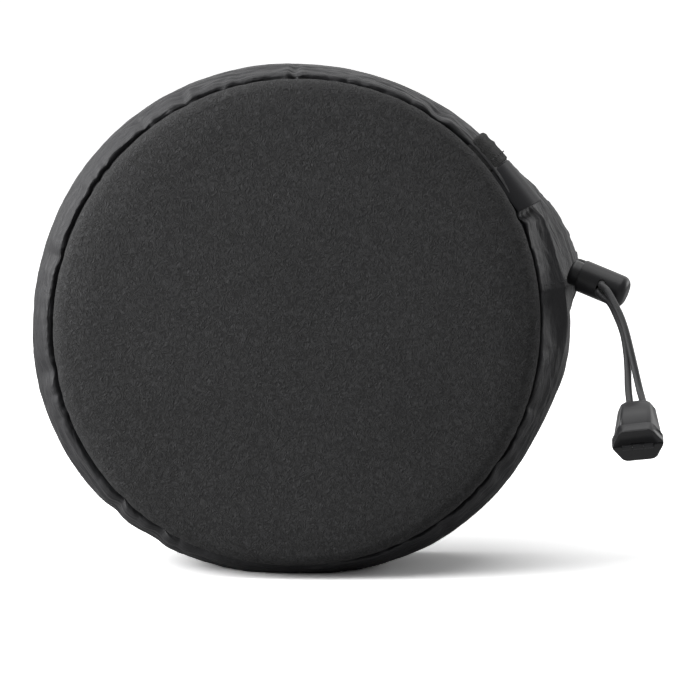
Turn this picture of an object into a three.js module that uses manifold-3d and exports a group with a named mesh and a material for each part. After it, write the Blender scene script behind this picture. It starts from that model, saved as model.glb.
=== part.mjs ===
// Slip-on cover for the front of a long lens: a padded round face, a soft side wall and a gathered hem with an
// elastic drawcord, closed by a barrel cord lock and a hinged cord end. It stands on its edge, a little flattened.
// Millimetres, +Z up, the face looks towards -Y and the open mouth towards +Y.

import * as THREE from 'three';
import { mergeVertices } from 'three/addons/utils/BufferGeometryUtils.js';
import Module from 'manifold-3d';

const wasm = await Module();
wasm.setup();

// Cloth, padding and the gap that sewn layers keep
const layerGap = 0.3;
const faceCloth = 0.9;
const wallCloth = 0.8;
const liningCloth = 0.6;
const tapeCloth = 0.5;
const foamThickness = 7;
const boardThickness = 1.5;
const paddingThickness = 3;

// Face disc
const seamRadius = 84.5;
const shoulderRadius = 6;
const seamAllowance = 7;
const tapeWidth = 5;
const boardInset = 10;
const liningInset = 3;

// Side wall and hem
const coverDepth = 56.5;
const wallBulge = 8.3;
const tunnelRadius = 3.8;
const hemRadius = 84.2;
const tunnelMouthAngle = THREE.MathUtils.degToRad(-35);
const tunnelFoldAngle = THREE.MathUtils.degToRad(295);
const wallJoinStep = 12;

// How the cloth lies: slack at the top and at the floor, full at the lower left, pulled out beside the cord lock.
// Angles run from the top towards +X; fullness is a share of what the puffed wall stands out.
const slackStart = 80;
const lies = [
  { angle: 12, spread: 30, fullness: -0.24 },
  { angle: 178, spread: 20, fullness: -0.2 },
  { angle: 242, spread: 22, fullness: 0.2 },
  { angle: 285, spread: 25, fullness: 0.05 },
];
const pullHeight = 13.8;
const pullAngle = 76;
const pullAbove = 17.5;
const pullBelow = 8.5;
const pullStart = 30;
const pullFull = 50;
const leanAngle = THREE.MathUtils.degToRad(6);
const pressStart = 70;
const faceCentre = new THREE.Vector3(-1.2, -28.2, 89.5);

// Webbing strap and the label tab that it holds, on the upper right of the side wall
const strapWidth = 20;
const strapFront = 11.5;
const anchorThickness = 1.5;
const anchorFrom = THREE.MathUtils.degToRad(44);
const anchorTo = THREE.MathUtils.degToRad(52);
const labelThickness = 0.9;
const labelTo = THREE.MathUtils.degToRad(63.5);
const labelLift = 2;

// Elastic cord
const cordDiameter = 2.5;
const cordHoleRadius = 1.7;
const upperExitAngle = THREE.MathUtils.degToRad(78);
const lowerExitAngle = THREE.MathUtils.degToRad(88.5);

// Cord lock: a barrel, a sprung plunger and an oblong hole across both for the two strands
const barrelRadius = 5.75;
const barrelLength = 17.6;
const barrelWall = 1.05;
const barrelEndWall = 0.9;
const barrelRound = 3;
const boreRound = 1.2;
const rimRound = 0.4;
const plungerClearance = 0.25;
const plungerStroke = 3;
const buttonHeight = 4;
const buttonRound = 1.5;
const strandSpacing = 2.7;
const strandCentre = 8.6;
const slotClearance = 0.3;
const slotCornerShare = 0.45;
const springWire = 0.4;
const springTurns = 2.5;
const springRadius = 2.9;
const lockFromHem = new THREE.Vector3(3.6, -22.4, -5.4);
const lockAxis = new THREE.Vector3(0.905, -0.22, -0.345);
const strandAim = new THREE.Vector3(0, -1, -0.15);

// Cord end: two halves that close over the knot and hinge on a pin at the wide end. Its section has six sides; width
// is measured on the parting plane, edge along the front and rear sides and depth between them.
const endLength = 19.15;
const endFootWidth = 18.4;
const endFootEdge = 11;
const endFootDepth = 14.45;
const endFootCorner = 1.8;
const endRimHeight = 3.5;
const endRimStep = 0.5;
const endShoulderHeight = 16.6;
const endShoulderWidth = 13.6;
const endShoulderEdge = 9.5;
const endShoulderDepth = 9;
const endMouthWidth = 9.2;
const endMouthEdge = 7.4;
const endMouthDepth = 5.6;
const endCorner = 1;
const endFootRound = 0.5;
const partingGap = 0.15;
const knucklePin = 0.35;
const knuckleRadius = 1.05;
const knuckleClearance = 0.2;
const middleKnuckle = 3.6;
const outerKnuckle = 3.3;
const hingeDrop = 0.35;
const pocketWidth = 9.6;
const pocketDepth = 6.6;
const pocketCorner = 1.6;
const pocketFrom = 2;
const pocketTo = 12.4;
const endStrandSpacing = 4.6;
const endStrandDepth = 7.2;
const knotRadius = 1.9;
const knotStrand = 0.9;
const knotHeight = 7.2;
const endFromLock = new THREE.Vector3(19.08, -38, -40.41);
const endUp = new THREE.Vector3(-0.01, 0.825, 0.565);
const endAcross = new THREE.Vector3(0.99, -0.07, 0.12);

// Facets
const roundSteps = 52;
const wallSteps = 9;
const firstBend = 0.3;
const cordSides = 8;
const cordRuns = 54;
const leadSteps = 20;
const tailSteps = 40;
const hemCordSteps = 80;
const lockSteps = 24;
const barSides = 12;
const springSides = 5;
const springStepsPerTurn = 8;
const knotSteps = 44;
const knotSides = 6;
const knotWinds = 2;
const knotLoops = 3;

// Depths of the layers behind the face, from the front
const foamFront = faceCloth + layerGap;
const foamBack = foamFront + foamThickness;
const tapeFront = foamBack + layerGap;
const faceEdgeFront = tapeFront + tapeCloth + layerGap;
const faceEdgeBack = faceEdgeFront + faceCloth;
const wallEdgeFront = faceEdgeBack + layerGap;
const wallEdgeBack = wallEdgeFront + wallCloth;
const tapeBack = wallEdgeBack + layerGap + tapeCloth;
const seatFront = tapeBack + layerGap;
const seatBack = seatFront + liningCloth;
const edgeRadius = seamRadius - seamAllowance;

// Hem: the cord runs in a folded tunnel, drawn against its inner side
const tunnelDepth = coverDepth - tunnelRadius;
const tunnelCentre = hemRadius - tunnelRadius;
const tunnelInner = tunnelRadius - wallCloth;
const cordRadius = cordDiameter / 2;
const hemCordRadius = tunnelCentre - cordRadius / 2;
const wallEndDepth = tunnelDepth + tunnelRadius * Math.sin(tunnelMouthAngle) - layerGap;
const wallEndRadius = tunnelCentre + tunnelRadius * Math.cos(tunnelMouthAngle);

// The strands' hole through the lock, and their channel in the cord end
const slotWidth = cordDiameter + 2 * slotClearance;
const slotCorner = slotCornerShare * slotWidth;
const plungerStart = barrelEndWall + boreRound + layerGap + plungerStroke;
const strandReach = strandSpacing / 2 + cordRadius + slotClearance;
const channelWidth = endStrandSpacing + cordDiameter + 2 * slotClearance;

function fabric(colour, roughness) {
  return new THREE.MeshStandardMaterial({ color: colour, roughness, metalness: 0 });
}

const materials = {
  face: fabric('#37373a', 0.9),
  wall: fabric('#333335', 0.6),
  lining: fabric('#2a2a2c', 0.8),
  foam: fabric('#4a4a4c', 1),
  board: fabric('#5a5a58', 0.7),
  tape: fabric('#252527', 0.8),
  webbing: fabric('#3a3a3a', 0.85),
  label: fabric('#2f2f33', 0.5),
  cord: fabric('#2b2b2d', 0.75),
  plastic: fabric('#3d3d40', 0.45),
  steel: new THREE.MeshStandardMaterial({ color: '#9a9a9a', roughness: 0.35, metalness: 1 }),
};

// Geometry helpers

function signedVolume(geometry) {
  const place = geometry.attributes.position;
  const index = geometry.index;
  const a = new THREE.Vector3();
  const b = new THREE.Vector3();
  const c = new THREE.Vector3();
  let volume = 0;
  for (let i = 0; i < index.count; i += 3) {
    a.fromBufferAttribute(place, index.getX(i));
    b.fromBufferAttribute(place, index.getX(i + 1));
    c.fromBufferAttribute(place, index.getX(i + 2));
    volume += a.dot(b.cross(c)) / 6;
  }
  return volume;
}

// A closed body with shared corners and its faces pointing out
function closed(geometry) {
  const bare = geometry.clone();
  bare.deleteAttribute('normal');
  bare.deleteAttribute('uv');
  const merged = mergeVertices(bare, 1e-4);
  const corners = [];
  for (let i = 0; i < merged.index.count; i += 3) {
    const face = [0, 1, 2].map((k) => merged.index.getX(i + k));
    if (new Set(face).size === 3) corners.push(...face);
  }
  merged.setIndex(corners);
  if (signedVolume(merged) < 0) {
    for (let i = 0; i < corners.length; i += 3) {
      [corners[i], corners[i + 1]] = [corners[i + 1], corners[i]];
    }
    merged.setIndex(corners);
  }
  return merged;
}

function solid(geometry) {
  const shape = closed(geometry);
  return new wasm.Manifold(new wasm.Mesh({
    numProp: 3,
    vertProperties: new Float32Array(shape.attributes.position.array),
    triVerts: new Uint32Array(shape.index.array),
  }));
}

function geometryOf(body) {
  const mesh = body.getMesh();
  const geometry = new THREE.BufferGeometry();
  geometry.setAttribute('position', new THREE.BufferAttribute(new Float32Array(mesh.vertProperties), 3));
  geometry.setIndex(new THREE.BufferAttribute(new Uint32Array(mesh.triVerts), 1));
  return closed(geometry);
}

// The two end faces of a body of rings; outline is the ring's flat shape and last the index of its last ring
function ends(outline, last) {
  const backwards = THREE.ShapeUtils.isClockWise(outline);
  return THREE.ShapeUtils.triangulateShape(outline, []).flatMap(([a, b, c]) => (
    backwards ? [a, b, c, last + a, last + c, last + b] : [a, c, b, last + a, last + b, last + c]
  ));
}

// Rings of points joined by walls and closed by two ends
function loft(rings, outline) {
  const count = rings[0].length;
  const points = rings.flat();
  const corners = [];
  for (let i = 0; i < rings.length - 1; i += 1) {
    for (let k = 0; k < count; k += 1) {
      const next = (k + 1) % count;
      const low = i * count;
      const high = low + count;
      corners.push(low + k, low + next, high + next, low + k, high + next, high + k);
    }
  }
  corners.push(...ends(outline, (rings.length - 1) * count));
  const geometry = new THREE.BufferGeometry().setFromPoints(points);
  geometry.setIndex(corners);
  return closed(geometry);
}

function tube(points, radius, sides, steps) {
  const section = new THREE.Shape();
  for (let k = 0; k <= sides; k += 1) {
    const turn = (k * 2 * Math.PI) / sides;
    if (k === 0) section.moveTo(radius, 0);
    else section.lineTo(radius * Math.cos(turn), radius * Math.sin(turn));
  }
  const path = new THREE.CatmullRomCurve3(points, false, 'centripetal');
  return closed(new THREE.ExtrudeGeometry(section, { steps, extrudePath: path, bevelEnabled: false }));
}

function arc(centreX, centreY, radius, from, to, steps) {
  const points = [];
  for (let k = 0; k <= steps; k += 1) {
    const turn = THREE.MathUtils.lerp(from, to, k / steps);
    points.push(new THREE.Vector2(centreX + radius * Math.cos(turn), centreY + radius * Math.sin(turn)));
  }
  return points;
}

// How the round cover lies

// The side wall's puffed outside, from the face seam (share 0) to the hem (share 1)
function wallPoint(share) {
  const puff = Math.sin(Math.PI * share ** 0.8);
  const radius = THREE.MathUtils.lerp(seamRadius, wallEndRadius, share) + wallBulge * Math.max(puff, 0) ** 0.7;
  return new THREE.Vector2(radius, THREE.MathUtils.lerp(wallEdgeFront, wallEndDepth, share));
}

// A corner of the wall's outline at a distance inside it (or outside where that is negative)
function wallCorner(step, inside) {
  const before = wallPoint(Math.max(step - 1, 0) / wallSteps);
  const after = wallPoint(Math.min(step + 1, wallSteps) / wallSteps);
  const along = after.sub(before).normalize();
  const here = wallPoint(step / wallSteps);
  return new THREE.Vector2(here.x - inside / along.y, here.y);
}

// The wall's outline between two steps, which needn't be whole ones, at a distance inside it
function wallLine(inside, from, to) {
  const at = (step) => wallCorner(Math.floor(step), inside).lerp(wallCorner(Math.ceil(step), inside), step % 1);
  const points = [at(from)];
  for (let step = Math.floor(from) + 1; step < to; step += 1) points.push(wallCorner(step, inside));
  points.push(at(to));
  return points;
}

// The radius of the cover's outermost cloth at a depth behind the face
function outsideRadius(depth) {
  if (depth <= wallEdgeFront) return seamRadius;
  if (depth >= wallEndDepth) return hemRadius;
  return wallPoint((depth - wallEdgeFront) / (wallEndDepth - wallEdgeFront)).x;
}

// How near an angle is to a middle one in degrees, from 1 there down to 0 away from it
function nearness(angle, middle, spread) {
  const away = angle - THREE.MathUtils.degToRad(middle);
  const turn = THREE.MathUtils.radToDeg(Math.atan2(Math.sin(away), Math.cos(away)));
  return Math.exp(-0.5 * (turn / spread) ** 2);
}

// The radius that slack cloth and the pull of the cord give a point
function lyingRadius(radius, angle, depth) {
  let fullness = 1;
  for (const lie of lies) fullness += lie.fullness * nearness(angle, lie.angle, lie.spread);
  const eased = radius > slackStart ? slackStart + (radius - slackStart) * fullness : radius;
  const above = nearness(angle, pullAngle, pullAbove);
  const below = nearness(angle, pullAngle, pullBelow);
  const pull = Math.sin(angle - THREE.MathUtils.degToRad(pullAngle)) < 0 ? above : below;
  return eased + pullHeight * pull * THREE.MathUtils.smoothstep(depth, pullStart, pullFull);
}

// Lays a point of the round cover down: angle runs from the top towards +X
function laid(radius, angle, depth) {
  let lying = lyingRadius(radius, angle, depth);
  const toFloor = (faceCentre.z - depth * Math.sin(leanAngle)) / Math.cos(leanAngle);
  const down = -Math.cos(angle);
  if (down > 0.5) {
    const outside = lyingRadius(outsideRadius(depth), angle, depth);
    const floorRadius = toFloor / down;
    if (outside > floorRadius && lying > pressStart) {
      lying = pressStart + (lying - pressStart) * (floorRadius - pressStart) / (outside - pressStart);
    }
  }
  const across = lying * Math.sin(angle);
  const above = lying * Math.cos(angle);
  const height = faceCentre.z + above * Math.cos(leanAngle) - depth * Math.sin(leanAngle);
  return new THREE.Vector3(
    faceCentre.x + across,
    faceCentre.y + depth * Math.cos(leanAngle) + above * Math.sin(leanAngle),
    Math.abs(height) < 1e-4 ? 0 : height,
  );
}

// Carries a closed outline (radius, depth) through a row of angles and lays it down. Facets split along the same
// diagonal on both sides of a cloth, so that neighbouring layers stay parallel.
function swept(profile, angles, whole) {
  const count = profile.length;
  const rings = angles.map((angle) => profile.map((p) => laid(p.x, angle, p.y)));
  const corners = [];
  for (let step = 0; step < (whole ? rings.length : rings.length - 1); step += 1) {
    const here = step * count;
    const beside = ((step + 1) % rings.length) * count;
    for (let k = 0; k < count; k += 1) {
      const next = (k + 1) % count;
      const a = here + k;
      const b = here + next;
      const c = beside + next;
      const d = beside + k;
      if (profile[next].y > profile[k].y) corners.push(a, b, c, a, c, d);
      else corners.push(a, b, d, d, b, c);
    }
  }
  if (!whole) corners.push(...ends(profile, (rings.length - 1) * count));
  const geometry = new THREE.BufferGeometry().setFromPoints(rings.flat());
  geometry.setIndex(corners);
  return closed(geometry);
}

function stepAngle(step) {
  return (step * 2 * Math.PI) / roundSteps;
}

// A layer all the way round
function layer(profile) {
  return swept(profile, Array.from({ length: roundSteps }, (_, step) => stepAngle(step)), true);
}

// A layer from one step to a later one, cut back at both ends by half the gap between two cloths
function strip(profile, from, to) {
  const trim = layerGap / 2 / seamRadius;
  const angles = Array.from({ length: to - from + 1 }, (_, k) => stepAngle(from + k));
  angles[0] += trim;
  angles[to - from] -= trim;
  return swept(profile, angles, false);
}

// A round bar from one point to another
function bar(from, to, radius) {
  const along = to.clone().sub(from);
  const geometry = new THREE.CylinderGeometry(radius, radius, along.length(), barSides);
  geometry.applyQuaternion(new THREE.Quaternion().setFromUnitVectors(
    new THREE.Vector3(0, 1, 0), along.clone().normalize(),
  ));
  const middle = from.clone().lerp(to, 0.5);
  return geometry.translate(middle.x, middle.y, middle.z);
}

function named(name, geometry, material) {
  const mesh = new THREE.Mesh(geometry, material);
  mesh.name = name;
  return mesh;
}

// Face panel

function faceFabric() {
  const flat = seamRadius - shoulderRadius;
  const inside = seamRadius - faceCloth;
  const profile = [
    new THREE.Vector2(0, 0),
    ...arc(flat, shoulderRadius, shoulderRadius, -Math.PI / 2, 0, 4),
    new THREE.Vector2(seamRadius, faceEdgeBack - faceCloth),
    new THREE.Vector2(seamRadius - faceCloth, faceEdgeBack),
    new THREE.Vector2(edgeRadius, faceEdgeBack),
    new THREE.Vector2(edgeRadius, faceEdgeFront),
    new THREE.Vector2(inside, faceEdgeFront),
    ...arc(flat, shoulderRadius, shoulderRadius - faceCloth, 0, -Math.PI / 2, 3),
    new THREE.Vector2(0, faceCloth),
  ];
  return layer(profile);
}

function faceFoam() {
  const flat = seamRadius - shoulderRadius;
  const round = shoulderRadius - foamFront;
  const profile = [
    new THREE.Vector2(0, foamFront),
    ...arc(flat, shoulderRadius, round, -Math.PI / 2, 0, 3),
    new THREE.Vector2(flat + round, foamBack),
    new THREE.Vector2(0, foamBack),
  ];
  return layer(profile);
}

function faceBoard() {
  const back = tapeFront + boardThickness;
  const radius = seamRadius - boardInset;
  const profile = [
    new THREE.Vector2(0, tapeFront),
    new THREE.Vector2(radius, tapeFront),
    new THREE.Vector2(radius, back),
    new THREE.Vector2(0, back),
  ];
  return layer(profile);
}

function faceLining() {
  const radius = seamRadius - liningInset;
  const profile = [
    new THREE.Vector2(0, seatFront),
    new THREE.Vector2(radius, seatFront),
    new THREE.Vector2(radius, seatBack),
    new THREE.Vector2(0, seatBack),
  ];
  return layer(profile);
}

// Tape folded round the two turned-in edges of the seam
function seamBinding() {
  const outer = edgeRadius + tapeWidth;
  const hollow = edgeRadius - layerGap;
  const inner = hollow - tapeCloth;
  const profile = [
    new THREE.Vector2(outer, tapeFront),
    new THREE.Vector2(outer, tapeFront + tapeCloth),
    new THREE.Vector2(hollow, tapeFront + tapeCloth),
    new THREE.Vector2(hollow, tapeBack - tapeCloth),
    new THREE.Vector2(outer, tapeBack - tapeCloth),
    new THREE.Vector2(outer, tapeBack),
    new THREE.Vector2(inner, tapeBack),
    new THREE.Vector2(inner, tapeFront),
  ];
  return layer(profile);
}

// Side wall

// The wall's cloth with its seam allowance, in two strips that are joined at both sides of the cover
function wallProfile() {
  const outside = wallLine(0, firstBend, wallSteps);
  const inside = wallLine(wallCloth, 1, wallSteps).reverse();
  const profile = [
    new THREE.Vector2(edgeRadius, wallEdgeFront),
    new THREE.Vector2(seamRadius - wallCloth, wallEdgeFront),
    ...outside,
    ...inside,
    new THREE.Vector2(seamRadius - wallCloth, wallEdgeBack),
    new THREE.Vector2(edgeRadius, wallEdgeBack),
  ];
  return profile;
}

function lowerWall() {
  return strip(wallProfile(), wallJoinStep, wallJoinStep + roundSteps / 2);
}

function upperWall() {
  return strip(wallProfile(), wallJoinStep + roundSteps / 2, wallJoinStep + roundSteps);
}

function wallLayer(near, thickness) {
  const outside = wallLine(near, 1, wallSteps - 1);
  const inside = wallLine(near + thickness, 1, wallSteps - 1).reverse();
  return layer([...outside, ...inside]);
}

function sidePadding() {
  return wallLayer(wallCloth + layerGap, paddingThickness);
}

function sideLining() {
  return wallLayer(wallCloth + 2 * layerGap + paddingThickness, liningCloth);
}

// Hem

function hemPlace(radius, angle) {
  return laid(radius, angle, tunnelDepth);
}

function hemTunnel() {
  const outside = arc(tunnelCentre, tunnelDepth, tunnelRadius, tunnelMouthAngle, tunnelFoldAngle, 9);
  const inside = arc(tunnelCentre, tunnelDepth, tunnelInner, tunnelFoldAngle, tunnelMouthAngle, 7);
  let body = solid(layer([...outside, ...inside]));
  for (const angle of [upperExitAngle, lowerExitAngle]) {
    const drill = bar(hemPlace(tunnelCentre, angle), hemPlace(hemRadius + cordDiameter, angle), cordHoleRadius);
    body = body.subtract(solid(drill));
  }
  return geometryOf(body);
}

// The elastic's run inside the tunnel, the long way round from one hole to the other
function hemCord() {
  const clear = cordDiameter / tunnelCentre;
  const from = lowerExitAngle + clear;
  const to = upperExitAngle + 2 * Math.PI - clear;
  const points = [];
  for (let k = 0; k <= cordRuns; k += 1) {
    points.push(hemPlace(hemCordRadius, THREE.MathUtils.lerp(from, to, k / cordRuns)));
  }
  return tube(points, cordRadius, cordSides, hemCordSteps);
}

// Strap on the side wall

// A strip of the strap's width that follows the wall's outside from one angle to another, raised by lift
function strapPatch(thickness, from, to, steps, lift) {
  const stepDepth = (wallEndDepth - wallEdgeFront) / wallSteps;
  const front = (strapFront - wallEdgeFront) / stepDepth;
  const back = (strapFront + strapWidth - wallEdgeFront) / stepDepth;
  const under = wallLine(-layerGap, front, back);
  const over = wallLine(-layerGap - thickness, front, back).reverse();
  const outline = [...under, ...over];
  const rings = [];
  for (let k = 0; k <= steps; k += 1) {
    const share = k / steps;
    const angle = THREE.MathUtils.lerp(from, to, share);
    rings.push(outline.map((p) => laid(p.x + lift * share ** 2, angle, p.y)));
  }
  return loft(rings, outline);
}

function strapAnchor() {
  return strapPatch(anchorThickness, anchorFrom, anchorTo, 3, 0);
}

function labelTab() {
  const gapAngle = layerGap / seamRadius;
  return strapPatch(labelThickness, anchorTo + gapAngle, labelTo, 5, labelLift);
}

// Sections that change from height to height

function roundedSection({ width, depth, corner }) {
  const points = [];
  const insideX = width / 2 - corner;
  const insideY = depth / 2 - corner;
  const corners = [[insideX, insideY], [-insideX, insideY], [-insideX, -insideY], [insideX, -insideY]];
  corners.forEach(([x, y], quarter) => {
    points.push(...arc(x, y, corner, (quarter * Math.PI) / 2, ((quarter + 1) * Math.PI) / 2, 2));
  });
  return points;
}

// Six sides, widest halfway through the depth, each corner rounded off by three points
function sixSidedSection({ width, edge, depth, corner }) {
  const tips = [[width, 0], [edge, depth], [-edge, depth], [-width, 0], [-edge, -depth], [edge, -depth]]
    .map(([x, y]) => new THREE.Vector2(x / 2, y / 2));
  return tips.flatMap((tip, k) => {
    const before = tips[(k + tips.length - 1) % tips.length].clone().sub(tip).setLength(corner).add(tip);
    const after = tips[(k + 1) % tips.length].clone().sub(tip).setLength(corner).add(tip);
    const middle = before.clone().lerp(after, 0.5).lerp(tip, 0.5);
    return [before, middle, after];
  });
}

function sectionLoft(sections, outlineOf) {
  const outlines = sections.map(outlineOf);
  const rings = outlines.map((outline, k) => outline.map((p) => new THREE.Vector3(p.x, p.y, sections[k].height)));
  return loft(rings, outlines[0]);
}

// Cord lock, made along +Y from its closed end, the strands' hole along Z and one strand above the other in X

function slotCutter(from, to) {
  const section = { width: 2 * strandReach, depth: to - from, corner: slotCorner };
  const throughBarrel = [-1, 1].map((end) => ({ ...section, height: 2 * end * barrelRadius }));
  const cutter = sectionLoft(throughBarrel, roundedSection);
  return solid(cutter.translate(0, (from + to) / 2, 0));
}

function turned(profile) {
  return new THREE.LatheGeometry([...profile, profile[0].clone()], lockSteps);
}

function lockBarrel() {
  const bore = barrelRadius - barrelWall;
  const profile = [
    new THREE.Vector2(0, 0),
    ...arc(barrelRadius - barrelRound, barrelRound, barrelRound, -Math.PI / 2, 0, 4),
    new THREE.Vector2(barrelRadius, barrelLength - rimRound),
    new THREE.Vector2(barrelRadius - rimRound, barrelLength),
    new THREE.Vector2(bore, barrelLength),
    new THREE.Vector2(bore, barrelEndWall + boreRound),
    new THREE.Vector2(bore - boreRound, barrelEndWall),
    new THREE.Vector2(0, barrelEndWall),
  ];
  const slot = slotCutter(strandCentre - slotWidth / 2, strandCentre + slotWidth / 2);
  return geometryOf(solid(turned(profile)).subtract(slot));
}

function lockPlunger() {
  const radius = barrelRadius - barrelWall - plungerClearance;
  const top = barrelLength + buttonHeight;
  const profile = [
    new THREE.Vector2(0, plungerStart),
    new THREE.Vector2(radius, plungerStart),
    ...arc(radius - buttonRound, top - buttonRound, buttonRound, 0, Math.PI / 2, 4),
    new THREE.Vector2(0, top),
  ];
  const slot = slotCutter(strandCentre - slotWidth / 2, strandCentre + slotWidth / 2 + plungerStroke);
  return geometryOf(solid(turned(profile)).subtract(slot));
}

function lockSpring() {
  const from = barrelEndWall + layerGap + springWire / 2;
  const to = plungerStart - layerGap - springWire / 2;
  const points = [];
  const steps = springStepsPerTurn * springTurns;
  for (let k = 0; k <= steps; k += 1) {
    const turn = (k / springStepsPerTurn) * 2 * Math.PI;
    const height = THREE.MathUtils.lerp(from, to, k / steps);
    points.push(new THREE.Vector3(springRadius * Math.cos(turn), height, springRadius * Math.sin(turn)));
  }
  return tube(points, springWire / 2, springSides, steps);
}

// Cord end, made along +Z from its foot, the parting plane at Y = 0 and the strands' mouth at the top

function endBody() {
  const foot = (height, inset) => ({
    height,
    width: endFootWidth - 2 * inset,
    edge: endFootEdge - inset,
    depth: endFootDepth - 2 * inset,
    corner: endFootCorner,
  });
  const outside = [
    foot(0, endFootRound),
    foot(endFootRound, 0),
    foot(endRimHeight, 0),
    foot(endRimHeight + endRimStep / 2, endRimStep),
    {
      height: endShoulderHeight,
      width: endShoulderWidth,
      edge: endShoulderEdge,
      depth: endShoulderDepth,
      corner: endCorner,
    },
    { height: endLength, width: endMouthWidth, edge: endMouthEdge, depth: endMouthDepth, corner: endCorner },
  ];
  const pocket = [pocketFrom, pocketTo].map((height) => (
    { height, width: pocketWidth, depth: pocketDepth, corner: pocketCorner }
  ));
  const channel = [pocketTo - pocketCorner, endLength + endCorner].map((height) => (
    { height, width: channelWidth, depth: slotWidth, corner: slotCorner }
  ));
  return solid(sectionLoft(outside, sixSidedSection))
    .subtract(solid(sectionLoft(pocket, roundedSection)))
    .subtract(solid(sectionLoft(channel, roundedSection)));
}

function hingeBar(radius, length, x) {
  const from = new THREE.Vector3(x - length / 2, 0, -hingeDrop);
  const to = new THREE.Vector3(x + length / 2, 0, -hingeDrop);
  return bar(from, to, radius);
}

const outerKnuckleX = (middleKnuckle + outerKnuckle) / 2 + knuckleClearance;
const middleKnuckles = [{ x: 0, length: middleKnuckle }];
const outerKnuckles = [-1, 1].map((side) => ({ x: side * outerKnuckleX, length: outerKnuckle }));

// One half of the cord end: side is -1 for the front half and 1 for the rear one
function endHalf(side, ownKnuckles, otherKnuckles) {
  const size = 2 * endLength;
  const keep = new THREE.BoxGeometry(size, size, size);
  keep.translate(0, side * (size / 2 + partingGap), endLength / 2);
  let half = endBody().intersect(solid(keep));
  for (const { x, length } of otherKnuckles) {
    const room = hingeBar(knuckleRadius + knuckleClearance, length + 2 * knuckleClearance, x);
    half = half.subtract(solid(room));
  }
  for (const { x, length } of ownKnuckles) half = half.add(solid(hingeBar(knuckleRadius, length, x)));
  return geometryOf(half.subtract(solid(hingeBar(knucklePin + knuckleClearance, 2 * endFootWidth, 0))));
}

function cordEndPin() {
  return closed(hingeBar(knucklePin, middleKnuckle + 2 * outerKnuckle, 0));
}

function cordKnot() {
  const knot = new THREE.TorusKnotGeometry(knotRadius, knotStrand, knotSteps, knotSides, knotWinds, knotLoops);
  knot.rotateX(Math.PI / 2);
  knot.translate(0, 0, knotHeight);
  return closed(knot);
}

// Where the cord lock and the cord end hang

function frameOf(origin, x, y, z) {
  return new THREE.Matrix4().makeBasis(x, y, z).setPosition(origin);
}

const lockRim = hemPlace(hemRadius, THREE.MathUtils.degToRad(pullAngle)).add(lockFromHem);

function lockFrame() {
  const y = lockAxis.clone().normalize().negate();
  const z = strandAim.clone().addScaledVector(y, -strandAim.dot(y)).normalize();
  const x = y.clone().cross(z);
  return frameOf(lockRim.clone().addScaledVector(y, -barrelLength), x, y, z);
}

function endFrame() {
  const z = endUp.clone().normalize();
  const x = endAcross.clone().addScaledVector(z, -endAcross.dot(z)).normalize();
  const y = z.clone().cross(x);
  const mouth = lockRim.clone().add(endFromLock);
  return frameOf(mouth.addScaledVector(z, -endLength), x, y, z);
}

const lockPlace = lockFrame();
const endPlace = endFrame();

// A strand's centre in the lock's hole (side 1 is the upper strand) and in the cord end's channel (1 is the right)
function lockStrand(side, reach) {
  return new THREE.Vector3((side * strandSpacing) / 2, strandCentre, reach).applyMatrix4(lockPlace);
}

function endStrand(side, height) {
  return new THREE.Vector3((side * endStrandSpacing) / 2, 0, height).applyMatrix4(endPlace);
}

// The free strands' points between their ends, chosen by hand and measured from the lock's rim

const leadRoutes = {
  upper: [[0.8, 21.7, 1.6], [4.6, 19.4, -0.6], [7.8, 14.6, -2], [9.4, 11.6, -2]],
  lower: [[-5.2, 18.9, -14.2], [-3.3, 17, -9.8], [-1.8, 15, -6.2], [1.5, 12.8, -4.4], [6.2, 10.8, -4]],
};
const tailRoutes = {
  upper: [
    [7.2, -9.4, -2.4], [8.9, -12, -3.6], [11.1, -15.4, -7], [13.7, -19, -11.8], [15.4, -22, -16.4],
    [16.9, -25, -22], [18.7, -28.5, -29.2], [20.2, -32.2, -35.4],
  ],
  lower: [
    [6.1, -9, -5], [7.6, -10.8, -6.3], [9.9, -12.4, -7.8], [12.9, -16.4, -13.2], [14.8, -19.5, -18.2],
    [15.8, -23, -23.9], [16.2, -26.5, -29.4], [16.3, -30.8, -34.6],
  ],
};

function fromRim(route) {
  return route.map(([x, y, z]) => new THREE.Vector3(x, y, z).add(lockRim));
}

function cordLead(side, angle, route) {
  const points = [
    hemPlace(tunnelCentre, angle),
    hemPlace(hemRadius + layerGap, angle),
    ...fromRim(route),
    lockStrand(side, -barrelRadius - cordDiameter),
    lockStrand(side, -barrelRadius - layerGap),
  ];
  return tube(points, cordRadius, cordSides, leadSteps);
}

function cordTail(side, route) {
  const points = [
    lockStrand(side, -barrelRadius),
    lockStrand(side, barrelRadius),
    ...fromRim(route),
    endStrand(side, endLength + cordRadius),
    endStrand(side, endLength - endStrandDepth),
  ];
  return tube(points, cordRadius, cordSides, tailSteps);
}

// Assembly

const drum = new THREE.Group();
drum.add(
  named('face_fabric', faceFabric(), materials.face),
  named('face_foam', faceFoam(), materials.foam),
  named('face_stiffener', faceBoard(), materials.board),
  named('face_lining', faceLining(), materials.lining),
  named('seam_binding', seamBinding(), materials.tape),
  named('side_wall_upper', upperWall(), materials.wall),
  named('side_wall_lower', lowerWall(), materials.wall),
  named('side_padding', sidePadding(), materials.foam),
  named('side_lining', sideLining(), materials.lining),
  named('hem_tunnel', hemTunnel(), materials.wall),
  named('hem_cord', hemCord(), materials.cord),
  named('strap_anchor', strapAnchor(), materials.webbing),
  named('label_tab', labelTab(), materials.label),
);

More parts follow.
